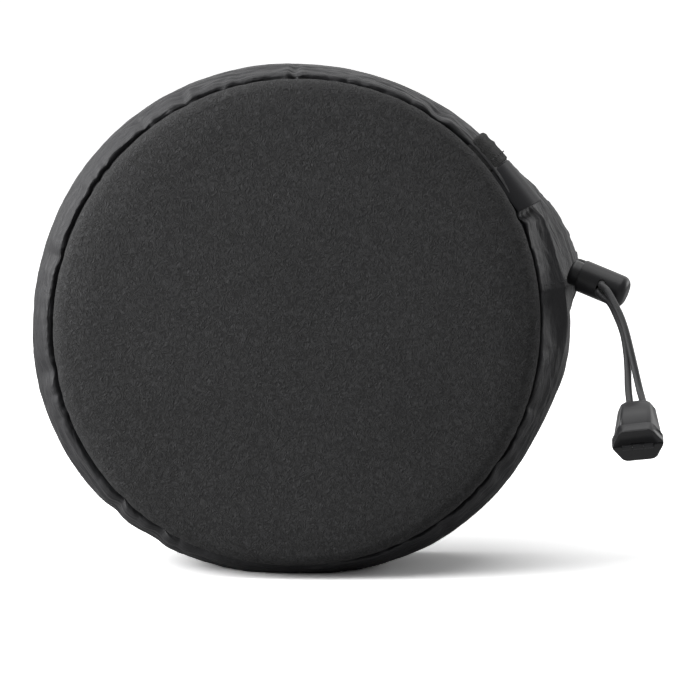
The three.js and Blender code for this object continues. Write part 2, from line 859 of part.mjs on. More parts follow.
const hanging = new THREE.Group();
hanging.add(
  named('cord_lead_upper', cordLead(1, upperExitAngle, leadRoutes.upper), materials.cord),
  named('cord_lead_lower', cordLead(-1, lowerExitAngle, leadRoutes.lower), materials.cord),
  named('cord_tail_upper', cordTail(1, tailRoutes.upper), materials.cord),
  named('cord_tail_lower', cordTail(-1, tailRoutes.lower), materials.cord),
  named('lock_barrel', lockBarrel().applyMatrix4(lockPlace), materials.plastic),
  named('lock_plunger', lockPlunger().applyMatrix4(lockPlace), materials.plastic),
  named('lock_spring', lockSpring().applyMatrix4(lockPlace), materials.steel),
  named('cord_end_back', endHalf(1, middleKnuckles, outerKnuckles).applyMatrix4(endPlace), materials.plastic),
  named('cord_end_front', endHalf(-1, outerKnuckles, middleKnuckles).applyMatrix4(endPlace), materials.plastic),
  named('cord_end_pin', cordEndPin().applyMatrix4(endPlace), materials.steel),
  named('cord_knot', cordKnot().applyMatrix4(endPlace), materials.cord),
);

// The origin lies under the middle of the cover's own box, on the floor
const box = new THREE.Box3().setFromObject(drum);
const cover = new THREE.Group();
cover.add(drum, hanging);
cover.position.set(-(box.min.x + box.max.x) / 2, -(box.min.y + box.max.y) / 2, -box.min.z);
cover.updateMatrixWorld(true);

export default cover;
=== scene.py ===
# slip-on cover for a long lens, standing on its edge on a white table
import math

import bmesh
import bpy
import numpy as np
from mathutils import Matrix, Vector


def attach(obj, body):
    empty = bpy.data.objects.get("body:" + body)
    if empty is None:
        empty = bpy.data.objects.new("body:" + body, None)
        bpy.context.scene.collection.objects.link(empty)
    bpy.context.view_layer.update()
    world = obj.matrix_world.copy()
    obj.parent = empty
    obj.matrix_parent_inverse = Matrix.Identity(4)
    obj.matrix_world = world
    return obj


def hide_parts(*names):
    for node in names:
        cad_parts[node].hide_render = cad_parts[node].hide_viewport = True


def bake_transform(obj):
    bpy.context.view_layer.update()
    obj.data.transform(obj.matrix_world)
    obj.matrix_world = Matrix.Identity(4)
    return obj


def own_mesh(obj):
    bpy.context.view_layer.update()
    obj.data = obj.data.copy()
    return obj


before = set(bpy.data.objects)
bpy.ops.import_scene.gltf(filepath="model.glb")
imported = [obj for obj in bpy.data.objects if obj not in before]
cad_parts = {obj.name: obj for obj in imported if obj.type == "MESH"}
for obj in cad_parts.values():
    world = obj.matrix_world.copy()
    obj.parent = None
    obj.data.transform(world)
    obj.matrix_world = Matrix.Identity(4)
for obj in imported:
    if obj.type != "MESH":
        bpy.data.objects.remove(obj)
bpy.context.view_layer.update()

mm = 0.001


# small helpers


# sRGB hex to the linear values that the shader wants
def linear(code):
    channels = [int(code[i:i + 2], 16) / 255 for i in (1, 3, 5)]
    return tuple(c / 12.92 if c <= 0.04045 else ((c + 0.055) / 1.055) ** 2.4 for c in channels) + (1,)


# 0 below low and 1 above high
def smooth(x, low, high):
    t = np.clip((x - low) / (high - low), 0, 1)
    return t * t * (3 - 2 * t)


def unit(v):  # a direction of length 1
    v = np.asarray(v, float)
    return v / np.linalg.norm(v)


# 1 in the middle, falling away on both sides
def bump(x, middle, width):
    return np.exp(-0.5 * ((x - middle) / width) ** 2)


def addNode(tree, kind, settings=None, links=None):
    node = tree.nodes.new(kind)
    for key, value in (settings or {}).items():
        if isinstance(key, str) and hasattr(node, key):
            setattr(node, key, value)
        else:
            node.inputs[key].default_value = value
    for key, source in (links or {}).items():
        tree.links.new(source, node.inputs[key])
    return node


def newMaterial(name):
    material = bpy.data.materials.new(name)
    material.use_nodes = True
    tree = material.node_tree
    return material, tree, tree.nodes["Principled BSDF"]


def paint(node, material):
    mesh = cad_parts[node].data
    mesh.materials.clear()
    mesh.materials.append(material)


def addObject(name, mesh, material):
    mesh.materials.append(material)
    mesh.shade_smooth()
    obj = bpy.data.objects.new(name, mesh)
    bpy.context.scene.collection.objects.link(obj)
    return obj


# puts a finished piece on its body, in place of its CAD nodes
def settle(obj, body, nodes):
    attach(obj, body)
    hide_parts(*nodes)
    return obj


# a skin over rows x outline points in mm, faces outwards; lines are the uv values (mm) of rows and columns
def gridMesh(name, grid, lines=None, closedRound=True, capped=False):
    rows, cols = grid.shape[:2]
    verts = grid.reshape(-1, 3) * mm
    ii, jj = np.meshgrid(np.arange(rows if closedRound else rows - 1), np.arange(cols), indexing="ij")
    corners = [(ii.ravel() + a, jj.ravel() + b) for a, b in ((0, 0), (0, 1), (1, 1), (1, 0))]
    p = verts[np.stack([(i % rows) * cols + j % cols for i, j in corners], -1)]
    inwards = (np.cross(p[:, 1], p[:, 2]) * p[:, 0] + np.cross(p[:, 2], p[:, 3]) * p[:, 0]).sum() < 0
    if inwards:
        corners.reverse()
    faces = np.stack([(i % rows) * cols + j % cols for i, j in corners], -1).tolist()
    if capped:
        first, last = list(range(cols)), [(rows - 1) * cols + k for k in range(cols)]
        faces += [first, last[::-1]] if inwards else [first[::-1], last]
    mesh = bpy.data.meshes.new(name)
    mesh.from_pydata(verts.tolist(), [], faces)
    if lines is not None:
        values = np.stack([np.stack([lines[0][i], lines[1][j]], -1) for i, j in corners], 1).reshape(-1, 2)
        values = np.concatenate([values, np.zeros((len(mesh.loops) - len(values), 2))])
        mesh.uv_layers.new(name="mm").data.foreach_set("uv", values.astype(np.float32).ravel())
    return mesh


# gradient noise from about -1 to 1, u repeats after period cells and v after more than any piece needs
def perlin(u, v, period, seed, cellsAcross=64):
    turn = np.random.default_rng(seed).uniform(0, 2 * np.pi, (period, cellsAcross))
    u, v = np.broadcast_arrays(u, v)
    u0, v0 = np.floor(u).astype(int), np.floor(v).astype(int)
    fu, fv = u - u0, v - v0
    total = 0
    for du in (0, 1):
        for dv in (0, 1):
            angle = turn[(u0 + du) % period, (v0 + dv) % cellsAcross]
            wu, wv = (fu if du else 1 - fu), (fv if dv else 1 - fv)
            fade = wu ** 3 * (wu * (wu * 6 - 15) + 10) * wv ** 3 * (wv * (wv * 6 - 15) + 10)
            total = total + fade * (np.cos(angle) * (fu - du) + np.sin(angle) * (fv - dv))
    return total * 1.5


# smooth line through a few evenly spaced values
def throughPoints(x, xs, ys):
    k = np.clip(np.searchsorted(xs, x, side="right") - 1, 0, len(xs) - 2)
    t = (x - xs[k]) / (xs[k + 1] - xs[k])
    p = np.concatenate([[2 * ys[0] - ys[1]], ys, [2 * ys[-1] - ys[-2]]])
    p0, p1, p2, p3 = p[k], p[k + 1], p[k + 2], p[k + 3]
    return p1 + 0.5 * t * (p2 - p0 + t * (2 * p0 - 5 * p1 + 4 * p2 - p3 + t * (3 * (p1 - p2) + p3 - p0)))


# the same through values that stand every 30 degrees from the top, the last one as the first
def roundTheCover(values, angle):
    return throughPoints(angle % 360, np.arange(len(values)) * 30.0, np.array(values))


# the cover's form, the same numbers as in part.mjs (mm and degrees)

form = {
    "centre": (-1.124, -28.166, 89.5),
    "lean": 6.0,
    "seamRadius": 84.5,
    # outside this radius the cloth lies slack: middle and spread (degrees), share that it stands out more
    "slackStart": 80.0,
    "lies": [(12, 30, -0.24), (178, 20, -0.2), (242, 22, 0.2), (285, 25, 0.05)],
    # the cord lock pulls the hem out here
    "pull": {"middle": 76, "above": 17.5, "below": 8.5, "height": 13.8, "start": 30, "full": 50},
    # what lies outside this radius is pressed flat on the table, where the outline points this far down
    "pressStart": 70.0,
    "pressedDown": 0.5,
    "tableGap": 0.02,
    "wallFront": 10.5,
    "wallBulge": 8.3,
    "wallPowers": (0.8, 0.7),
    "wallSteps": 9,
    "wallGap": 0.3,
    "tunnelRadius": 3.8,
    "hemRadius": 84.2,
    "depth": 56.5,
    "join": 83.08,
    # how far the gathered seam draws the face's edge in, from the first radius to the second
    # and fading from the first depth to the second
    "drawn": [0.6, 0.0, 1.5, 2.4, 1.5, 0.6, -0.5, -0.4, 0.6, 1.4, 1.9, 1.2, 0.6],
    "drawnRadii": (70, 83),
    "drawnDepths": (12, 24),
}
lean = math.radians(form["lean"])
tunnelDepth = form["depth"] - form["tunnelRadius"]
tunnelCentre = form["hemRadius"] - form["tunnelRadius"]
# where the tunnel's cloth starts and ends, going round the elastic
mouthAngle = math.radians(-35)
foldAngle = math.radians(295)
wallBack = tunnelDepth + form["tunnelRadius"] * math.sin(mouthAngle) - form["wallGap"]
wallBackRadius = tunnelCentre + form["tunnelRadius"] * math.cos(mouthAngle)

middleRadius, wallLength = 88, 52  # mm, for sizes round the cover and across the wall
turns = 900  # rows of the cloth round the cover
angles = np.arange(turns) * 360 / turns
roundLine = np.radians(np.arange(turns + 1) * 360 / turns)


# 1 at an angle round the cover, falling away on both sides
def nearness(angle, middle, spread):
    return bump((angle - middle + 180) % 360 - 180, 0, spread)


# the wall's outline from the seam (share 0) to the hem (share 1)
def wallPoint(share):
    skew, full = form["wallPowers"]
    puff = np.sin(np.pi * np.clip(share, 0, 1) ** skew)
    radius = form["seamRadius"] + (wallBackRadius - form["seamRadius"]) * share
    radius = radius + form["wallBulge"] * np.maximum(puff, 0) ** full
    return radius, form["wallFront"] + (wallBack - form["wallFront"]) * share


# the wall's outline some mm inside its outer cloth (or outside it where inside is negative)
def wallSheet(inside, share):
    if inside == 0:
        return wallPoint(share)
    steps = np.arange(form["wallSteps"] + 1)
    radius, depth = wallPoint(steps / form["wallSteps"])
    ahead, behind = np.minimum(steps + 1, form["wallSteps"]), np.maximum(steps - 1, 0)
    run, rise = depth[ahead] - depth[behind], radius[ahead] - radius[behind]
    radius = radius - inside * np.hypot(run, rise) / run
    return throughPoints(share, steps / form["wallSteps"], radius), wallPoint(share)[1]


# the radius of the cover's outside at a depth behind the face
def outsideRadius(depth):
    share = (depth - form["wallFront"]) / (wallBack - form["wallFront"])
    radius = np.where(depth <= form["wallFront"], form["seamRadius"], wallPoint(np.clip(share, 0, 1))[0])
    return np.where(depth >= wallBack, form["hemRadius"], radius)


# the radius once the slack cloth has settled and the lock pulls at the hem
def lyingRadius(radius, angle, depth):
    fullness = 1 + sum(amount * nearness(angle, middle, spread) for middle, spread, amount in form["lies"])
    start = form["slackStart"]
    eased = np.where(radius > start, start + (radius - start) * fullness, radius)
    pull = form["pull"]
    above = nearness(angle, pull["middle"], pull["above"])
    below = nearness(angle, pull["middle"], pull["below"])
    near = np.where(np.sin(np.radians(angle - pull["middle"])) < 0, above, below)
    return eased + pull["height"] * near * smooth(depth, pull["start"], pull["full"])


# a point of the round cover, angle from the top towards +X, as it stands on the table
def laid(radius, angle, depth):
    radius, angle, depth = np.broadcast_arrays(*(np.asarray(v, float) for v in (radius, angle, depth)))
    drawn = roundTheCover(form["drawn"], angle)
    drawn = drawn * smooth(radius, *form["drawnRadii"])
    radius = radius - drawn * (1 - smooth(depth, *form["drawnDepths"]))
    cx, cy, cz = form["centre"]
    lying = lyingRadius(radius, angle, depth)
    turn = np.radians(angle)
    down = -np.cos(turn)
    toFloor = (cz - depth * math.sin(lean)) / math.cos(lean)
    outside = lyingRadius(outsideRadius(depth), angle, depth)
    floorRadius = toFloor / np.maximum(down, form["pressedDown"])
    start = form["pressStart"]
    pressed = (down > form["pressedDown"]) & (outside > floorRadius) & (lying > start)
    squeezed = start + (lying - start) * (floorRadius - start) / np.maximum(outside - start, 1)
    lying = np.where(pressed, squeezed, lying)
    above = lying * np.cos(turn)
    place = np.stack([
        cx + lying * np.sin(turn),
        cy + depth * math.cos(lean) + above * math.sin(lean),
        cz + above * math.cos(lean) - depth * math.sin(lean),
    ], -1)
    place[..., 2] = np.maximum(place[..., 2], form["tableGap"])
    return place


# materials

clothLook = {
    "strokeWidth": 0.12,  # of a fibre's stroke, as a share of its cell
    "patchSize": 40,  # mm, of the places where the dye took a little more or less
    "patchShades": (0.93, 1.07),
    "reliefShare": 0.2,  # how far the grain stands out, as a share of its size
    "creaseStretch": 0.25, "creaseTurn": 0.25, "creaseRelief": (0.8, 1.2),  # strength, and height in mm
}


# cloth with a grain of threads or pile in relief and colour, and a little sheen on its fibres;
# grain and crinkle are sizes in mm
def clothMaterial(name, spec):
    material, tree, shader = newMaterial(name)
    where = addNode(tree, "ShaderNodeTexCoord").outputs["Object"]
    grainSettings = {"Scale": 1000 / spec["grain"], "Detail": 3, "Roughness": 0.6,
                     "Distortion": spec.get("curl", 0.2)}
    grain = addNode(tree, "ShaderNodeTexNoise", grainSettings, {"Vector": where})
    # short curved strokes, like pile that was pressed this way and that
    middle = addNode(tree, "ShaderNodeMath", {"operation": "SUBTRACT", 1: 0.5}, {0: grain.outputs["Fac"]})
    away = addNode(tree, "ShaderNodeMath", {"operation": "ABSOLUTE"}, {0: middle.outputs["Value"]})
    strokeSettings = {"From Min": 0, "From Max": clothLook["strokeWidth"], "To Min": 1, "To Max": 0}
    stroke = addNode(tree, "ShaderNodeMapRange", strokeSettings, {"Value": away.outputs["Value"]})
    tint = addNode(tree, "ShaderNodeMapRange", {"To Min": 1 - spec["mottle"], "To Max": 1 + spec["mottle"]},
                   {"Value": stroke.outputs["Result"]})
    patches = addNode(tree, "ShaderNodeTexNoise", {"Scale": 1000 / clothLook["patchSize"], "Detail": 3},
                      {"Vector": where})
    dark, light = clothLook["patchShades"]
    shade = addNode(tree, "ShaderNodeMapRange",
                    {"From Min": 0.3, "From Max": 0.7, "To Min": dark, "To Max": light},
                    {"Value": patches.outputs["Fac"]})
    both = addNode(tree, "ShaderNodeMath", {"operation": "MULTIPLY"},
                   {0: tint.outputs["Result"], 1: shade.outputs["Result"]})
    colour = addNode(tree, "ShaderNodeVectorMath", {"operation": "SCALE", 0: linear(spec["colour"])[:3]},
                     {"Scale": both.outputs["Value"]})
    tree.links.new(colour.outputs["Vector"], shader.inputs["Base Color"])
    shader.inputs["Roughness"].default_value = spec["roughness"]
    shader.inputs["Specular IOR Level"].default_value = spec.get("shine", 0.25)
    shader.inputs["Sheen Weight"].default_value = spec["sheen"]
    shader.inputs["Sheen Roughness"].default_value = 0.4
    standsOut = spec["grain"] * clothLook["reliefShare"]
    normal = addNode(tree, "ShaderNodeBump", {"Strength": spec["relief"], "Distance": standsOut * mm},
                     {"Height": stroke.outputs["Result"]})
    if "crinkle" in spec:
        # fine creases of a coated cloth that was gathered, longer round the cover than across it
        uv = addNode(tree, "ShaderNodeUVMap", {"uv_map": "mm"}).outputs["UV"]
        stretched = addNode(tree, "ShaderNodeMapping", {"Scale": (clothLook["creaseStretch"], 1, 1),
                                                        "Rotation": (0, 0, clothLook["creaseTurn"])},
                            {"Vector": uv})
        crease = addNode(tree, "ShaderNodeTexNoise",
                         {"Scale": 1 / spec["crinkle"], "Detail": 3, "Distortion": 0.8},
                         {"Vector": stretched.outputs["Vector"]})
        strength, standsOut = clothLook["creaseRelief"]
        normal = addNode(tree, "ShaderNodeBump", {"Strength": strength, "Distance": standsOut * mm},
                         {"Height": crease.outputs["Fac"], "Normal": normal.outputs["Normal"]})
    tree.links.new(normal.outputs["Normal"], shader.inputs["Normal"])
    return material


# grainRelief is a strength, and a height in mm
plasticLook = {"grainsPerMm": 3.5, "wearPerMm": 0.22, "grainRelief": (0.25, 0.05)}


# moulded plastic: fine eroded grain and a soft, slightly uneven highlight
def plasticMaterial(name, colour, roughness):
    material, tree, shader = newMaterial(name)
    where = addNode(tree, "ShaderNodeTexCoord").outputs["Object"]
    grain = addNode(tree, "ShaderNodeTexNoise", {"Scale": plasticLook["grainsPerMm"] / mm, "Detail": 2},
                    {"Vector": where})
    wear = addNode(tree, "ShaderNodeTexNoise", {"Scale": plasticLook["wearPerMm"] / mm, "Detail": 3},
                   {"Vector": where})
    shine = addNode(tree, "ShaderNodeMapRange", {"To Min": roughness - 0.07, "To Max": roughness + 0.1},
                    {"Value": wear.outputs["Fac"]})
    shader.inputs["Base Color"].default_value = linear(colour)
    tree.links.new(shine.outputs["Result"], shader.inputs["Roughness"])
    strength, standsOut = plasticLook["grainRelief"]
    normal = addNode(tree, "ShaderNodeBump", {"Strength": strength, "Distance": standsOut * mm},
                     {"Height": grain.outputs["Fac"]})
    tree.links.new(normal.outputs["Normal"], shader.inputs["Normal"])
    return material


braidLook = {"slant": 52, "shades": (0.5, 1.1), "relief": (0.5, 0.12)}  # strength, and height in mm


# braid: two sets of yarns that cross, seen as small lozenges; pitch is the width of a yarn in mm
def braidMaterial(name, colour, pitch):
    material, tree, shader = newMaterial(name)
    uv = addNode(tree, "ShaderNodeUVMap", {"uv_map": "mm"}).outputs["UV"]
    yarns = []
    for side in (1, -1):
        slant = side * math.radians(braidLook["slant"])
        turned = addNode(tree, "ShaderNodeMapping", {"Rotation": (0, 0, slant)}, {"Vector": uv})
        yarns.append(addNode(tree, "ShaderNodeTexWave",
                             {"Scale": 1 / pitch / 2, "Distortion": 0.3, "Detail": 1},
                             {"Vector": turned.outputs["Vector"]}))
    high = addNode(tree, "ShaderNodeMath", {"operation": "MAXIMUM"},
                   {0: yarns[0].outputs["Fac"], 1: yarns[1].outputs["Fac"]})
    dark, light = braidLook["shades"]
    tint = addNode(tree, "ShaderNodeMapRange", {"To Min": dark, "To Max": light},
                   {"Value": high.outputs["Value"]})
    tone = addNode(tree, "ShaderNodeVectorMath", {"operation": "SCALE", 0: linear(colour)[:3]},
                   {"Scale": tint.outputs["Result"]})
    tree.links.new(tone.outputs["Vector"], shader.inputs["Base Color"])
    strength, standsOut = braidLook["relief"]
    normal = addNode(tree, "ShaderNodeBump", {"Strength": strength, "Distance": standsOut * mm},
                     {"Height": high.outputs["Value"]})
    tree.links.new(normal.outputs["Normal"], shader.inputs["Normal"])
    shader.inputs["Roughness"].default_value = 0.42
    shader.inputs["Sheen Weight"].default_value = 0.1
    return material


print("materials")
# brushed knit of the face: a dull charcoal with short curled fibres, drawn coarse enough to show
faceCloth = clothMaterial("brushed_face_cloth", {
    "colour": "#373738", "grain": 1.9, "curl": 1.3, "mottle": 0.4,
    "relief": 1.2, "roughness": 0.75, "shine": 0.4, "sheen": 0.03})
# coated woven nylon of the wall and hem: smoother and a little shiny, so its creases catch the light
wallCloth = clothMaterial("coated_nylon", {
    "colour": "#303032", "grain": 0.6, "mottle": 0.1,
    "relief": 0.3, "roughness": 0.45, "shine": 0.4, "sheen": 0, "crinkle": 3})
# brushed lining: soft, dull and dark
liningCloth = clothMaterial("brushed_lining", {
    "colour": "#2c2c2e", "grain": 0.8, "mottle": 0.2, "relief": 0.5, "roughness": 0.9, "sheen": 0.1})
# open cell foam: a grey pitted surface without shine
foamMat = clothMaterial("open_cell_foam", {
    "colour": "#555557", "grain": 0.8, "mottle": 0.3, "relief": 0.8, "roughness": 1, "sheen": 0})
# woven binding tape: darker than the lining, with fine threads
tapeCloth = clothMaterial("seam_tape", {
    "colour": "#242426", "grain": 0.6, "mottle": 0.2, "relief": 0.5, "roughness": 0.8, "sheen": 0.05})
# woven nylon webbing: coarse threads that stand out, dull
webbing = clothMaterial("nylon_webbing", {
    "colour": "#313131", "grain": 0.9, "mottle": 0.3, "relief": 0.9, "roughness": 0.7, "sheen": 0.05})
# coated label cloth: nearly smooth, with a broad soft shine
labelCloth = clothMaterial("coated_label", {
    "colour": "#242427", "grain": 0.35, "mottle": 0.05, "relief": 0.15, "roughness": 0.5, "sheen": 0})
# twisted polyester thread: a touch lighter than the cloth, so that the stitches can be told
threadMat = clothMaterial("sewing_thread", {
    "colour": "#3e3e40", "grain": 0.3, "mottle": 0.2, "relief": 0.4, "roughness": 0.6, "sheen": 0.05})
# braided elastic: lozenges of light and dark, with a narrow dull highlight along the cord
elastic = braidMaterial("braided_elastic", "#38383a", 0.9)
# pressed fibre board: plain grey and dull
boardMat = plasticMaterial("stiffener_board", "#5b5b59", 0.6)
# injection moulded nylon: near black with a soft highlight along the round parts
lockPlastic = plasticMaterial("moulded_nylon", "#252527", 0.34)
# drawn spring steel: bright grey, mirrors its surroundings a little blurred
steel, _, steelShader = newMaterial("spring_steel")
steelShader.inputs["Base Color"].default_value = linear("#b4b4b2")
steelShader.inputs["Metallic"].default_value = 1
steelShader.inputs["Roughness"].default_value = 0.3


# side wall: cloth, padding and lining share one wrinkled form

print("side wall")

wall = {
    "cloth": 0.8, "clothRows": 90,  # thickness in mm, rows of points across it
    # mm inside the wall's outside, and thickness
    "padding": (1.1, 3.0), "lining": (4.4, 0.6),
    # the cloth's turned-in edges at the seam, before and behind its outline: radius, depth
    "turnedFront": [(78, 10.5), (82, 10.6), (84.0, 10.9)], "turnedBack": [(82.5, 11.4), (78, 11.3)],
    # heights of the pleats and puckers in mm
    "seamPucker": 0.4, "seamPuckerFine": 0.16, "hemPleat": 0.9, "hemPleatFine": 0.3,
    # how many there are round the cover, their seed, and how unevenly they stand
    "seamPuckers": (66, 3, 1.5), "seamPuckersFine": (170, 4, 2.5),
    "hemPleats": (62, 5, 1.3), "hemPleatsFine": (118, 8, 1.4),
    # the shares between which they fade
    "seamFade": (0.02, 0.22), "seamFadeFine": (0.02, 0.12), "hemFade": (0.5, 1.0),
    # beside the lock the drawn cord stretches the hem's pleats: share, angle, spread
    "stretched": (0.75, 70, 22),
    # dents: height, size round the cover and across the strip (mm), seed, slant
    "dents": [(0.2, 17, 11, 41, 0.3), (0.16, 7, 5, 43, -0.4), (0.2, 13, 2.6, 47, 0.9),
              (0.12, 5, 1.7, 53, -0.7)],
    # folds from the seam across the strip: angle, width (degrees), depth (mm, negative stands out)
    "folds": [
        (332.4, 1.0, 1.3), (334.6, 0.9, -0.7), (346.0, 0.7, 0.8), (321.0, 0.8, 0.9), (34.1, 1.6, 1.8),
        (37.0, 1.0, -0.7), (359.0, 0.6, 1.2), (357.6, 0.6, -0.5), (0.6, 0.7, -0.4), (64.4, 0.7, 1.5),
        (66.6, 0.8, -0.9), (284.4, 1.2, 1.0), (258.3, 1.4, 1.1), (224.0, 1.1, 1.2), (213.4, 1.2, 1.3),
        (126.0, 1.2, 1.0), (144.0, 1.0, 0.9), (153.7, 1.1, 0.9), (110.0, 0.9, 0.6), (300.0, 1.0, 0.7),
    ],
    "foldSlant": 2.2, "foldWidens": 1.5,
    # the shares where they end, in three lengths, and those between two angles are longer
    "foldEnds": (0.34, 0.39, 0.44), "longFolds": (210, 230), "longFoldEnd": 0.62,
    # the pull of the cord makes a ridge between these angles: height or depth (mm), share, width
    "ridgeStart": (62, 68), "ridgeEnd": (90, 102),
    "ridge": [(1.5, 0.27, 0.03), (0.7, 0.272, 0.013), (-1.0, 0.16, 0.05), (-2.2, 0.42, 0.07)],
    # the strap and the label hold the cloth flat between these angles, from the seam to these shares
    "flatStart": (42, 46), "flatEnd": (61, 64), "flatAcross": (0.5, 0.62),
    # at the join the upper strip laps over the lower one by this height, over a few degrees
    "lap": 0.55, "lapEdge": 0.3, "lapFade": 4,
    # the lower exit of the cord pushes the hem out: height, angle, spread
    "pushed": (3.6, 94, 9),
}
# the groove beside the seam (mm); rise lifts its bottom where it is shut
seamGroove = {
    "radius": 84.2, "width": 1.5, "depth": 5.5, "rise": 1.8, "inner": (81, 84),
    # how open it is, every 30 degrees from the top
    "open": [0.5, 0.6, 1.5, 1.8, 1.7, 1.2, 0.2, 0.5, 1.1, 1.1, 1.5, 0.65, 0.5],
    # puckers that bridge it
    "bridges": [333.8, 328.6, 323.6, 342.4, 287.5, 283.1, 260.7, 248.0,
                116.5, 124.9, 142.1, 144.3, 153.4, 158.9],
    "bridgeWidth": 0.6, "bridgeHeight": 0.4, "uneven": 0.25,
    # teeth along its outer lip, and the cloth's roll behind it: height, radius, width
    "teeth": (0.25, 85.6, 0.9), "roll": (1.2, 88.2, 1.2),
}


# uneven pleats round the cover, -1 in the sharp valleys and 1 on the round ridges
def pleats(count, seed, wander):
    walk = perlin(angles / 360 * int(count / 1.7), 0.5, int(count / 1.7), seed) * wander
    return 2 * np.abs(np.sin(np.radians(angles) * count / 2 + walk)) ** 0.75 - 1


# shallow dents, sized in mm round the cover and across the strip
def crumple(share, roundSize, acrossSize, seed, slant):
    period = int(round(2 * np.pi * middleRadius / roundSize))
    v = share[None, :] * wallLength / acrossSize
    return perlin(angles[:, None] / 360 * period + slant * v, v + 7, period, seed)


def roundNoise(period, v, seed):
    return perlin(angles / 360 * period, v, period, seed)


seamPuckers = pleats(*wall["seamPuckers"])
puckerStrength = np.clip(0.45 + roundNoise(25, 3.3, 31), 0.1, 1)
seamPuckersFine = pleats(*wall["seamPuckersFine"]) * (0.6 + 0.5 * roundNoise(40, 6.1, 14))
stretched = 1 - wall["stretched"][0] * nearness(angles, *wall["stretched"][1:])
hemPleats = pleats(*wall["hemPleats"]) * (0.75 + 0.4 * roundNoise(20, 1.3, 6)) * stretched
hemPleatsFine = pleats(*wall["hemPleatsFine"]) * stretched
bridged = sum(nearness(angles, at, seamGroove["bridgeWidth"]) for at in seamGroove["bridges"])
groove = roundTheCover(seamGroove["open"], angles)
groove = groove * (1 - seamGroove["bridgeHeight"] * np.clip(bridged, 0, 1))
groove = np.clip(groove * (1 + seamGroove["uneven"] * roundNoise(60, 2.2, 12)), 0, 2)
pushed = wall["pushed"][0] * nearness(angles, *wall["pushed"][1:])


# how far the cloth stands out of its even form, rows x shares in mm
def wallWrinkle(share):
    s = share[None, :]
    at = angles[:, None]
    creases = 0
    first, last = wall["longFolds"]
    for k, (middle, width, depth) in enumerate(wall["folds"]):
        width = width * (1 + wall["foldWidens"] * s)
        line = nearness(at, middle + (-1) ** k * wall["foldSlant"] * (s - 0.1), width)
        reach = wall["longFoldEnd"] if first < middle < last else wall["foldEnds"][k % 3]
        creases = creases + depth * line * (1 - smooth(s, 0.1, reach))
    fine = wall["seamPuckerFine"] * seamPuckersFine[:, None] * (1 - smooth(s, *wall["seamFadeFine"]))
    seam = wall["seamPucker"] * (seamPuckers * puckerStrength)[:, None]
    seam = seam * (1 - smooth(s, *wall["seamFade"]))
    seam = (seam + fine) * smooth(s, -0.01, 0.02)
    gathered = wall["hemPleat"] * hemPleats[:, None] + wall["hemPleatFine"] * hemPleatsFine[:, None]
    gathered = gathered * smooth(s, *wall["hemFade"])
    dents = sum(height * crumple(share, *sizes) for height, *sizes in wall["dents"])
    dents = dents * smooth(s, 0.02, 0.12) * (1.6 - 0.9 * smooth(s, 0.15, 0.4))
    ridge = smooth(at, *wall["ridgeStart"]) * (1 - smooth(at, *wall["ridgeEnd"]))
    ridge = ridge * sum(height * bump(s, *where) for height, *where in wall["ridge"])
    flat = smooth(at, *wall["flatStart"]) * (1 - smooth(at, *wall["flatEnd"]))
    flat = 1 - flat * (1 - smooth(s, *wall["flatAcross"]))
    above = (form["join"] - at + 180) % 360 - 180
    lap = smooth(above, -wall["lapEdge"], wall["lapEdge"]) * np.exp(-np.maximum(above, 0) / wall["lapFade"])
    lap = wall["lap"] * lap * (1 - smooth(s, 0.85, 1))
    puffed = pushed[:, None] * smooth(s, 0.12, 0.5)
    return (seam + dents - creases) * flat + gathered + ridge + puffed + lap


# the outline's own normal, in radius and depth
def outwards(share):
    aheadR, aheadD = wallPoint(np.clip(share + 1e-3, 0, 1))
    behindR, behindD = wallPoint(np.clip(share - 1e-3, 0, 1))
    run, rise = aheadD - behindD, aheadR - behindR
    length = np.hypot(run, rise)
    return run / length, -rise / length


# a closed skin some mm inside the wall's outside; with seam it has the seam's turned-in edges and groove
def wallLayer(name, nodes, near, thickness, share, material, slotName, fill=None, seam=False):
    shares = np.concatenate([share, share[::-2]])
    pairs = zip(wallSheet(near, share), wallSheet(near + thickness, share[::-2]))
    radius, depth = (np.concatenate(pair) for pair in pairs)
    normalR, normalD = outwards(shares)
    wrinkle = wallWrinkle(shares)
    dip = 0
    if seam:
        before, after = np.array(wall["turnedFront"]), np.array(wall["turnedBack"])
        more = (len(before), len(after))
        radius = np.concatenate([before[:, 0], radius, after[:, 0]])
        depth = np.concatenate([before[:, 1], depth, after[:, 1]])
        wrinkle = np.pad(wrinkle, ((0, 0), more))
        normalR, normalD = np.pad(normalR, more), np.pad(normalD, more)
        outer = np.arange(len(radius)) < len(before) + len(share) // 2
        tooth, *toothPlace = seamGroove["teeth"]
        roll, *rollPlace = seamGroove["roll"]
        teeth = 1 + tooth * seamPuckersFine[:, None] * bump(radius, *toothPlace)
        dip = seamGroove["depth"] * groove[:, None] * teeth - seamGroove["rise"]
        dip = dip * bump(radius, seamGroove["radius"], seamGroove["width"])
        dip = dip * smooth(radius, *seamGroove["inner"])
        dip = (dip - roll * bump(radius, *rollPlace)) * outer
    grid = laid(radius + wrinkle * normalR, angles[:, None], depth + dip + wrinkle * normalD)
    across = np.concatenate([[0], np.cumsum(np.hypot(np.diff(radius), np.diff(depth)))])
    across = np.append(across, across[-1] + 1)
    obj = addObject(name, gridMesh(name, grid, (roundLine * middleRadius, across)), material)
    return settle(obj, "root", nodes)


wallLayer("wall_cloth", ["side_wall_upper", "side_wall_lower"], 0, wall["cloth"],
          np.linspace(0, 1, wall["clothRows"]) ** 1.5, wallCloth, "wall_cloth", fill=0.5, seam=True)
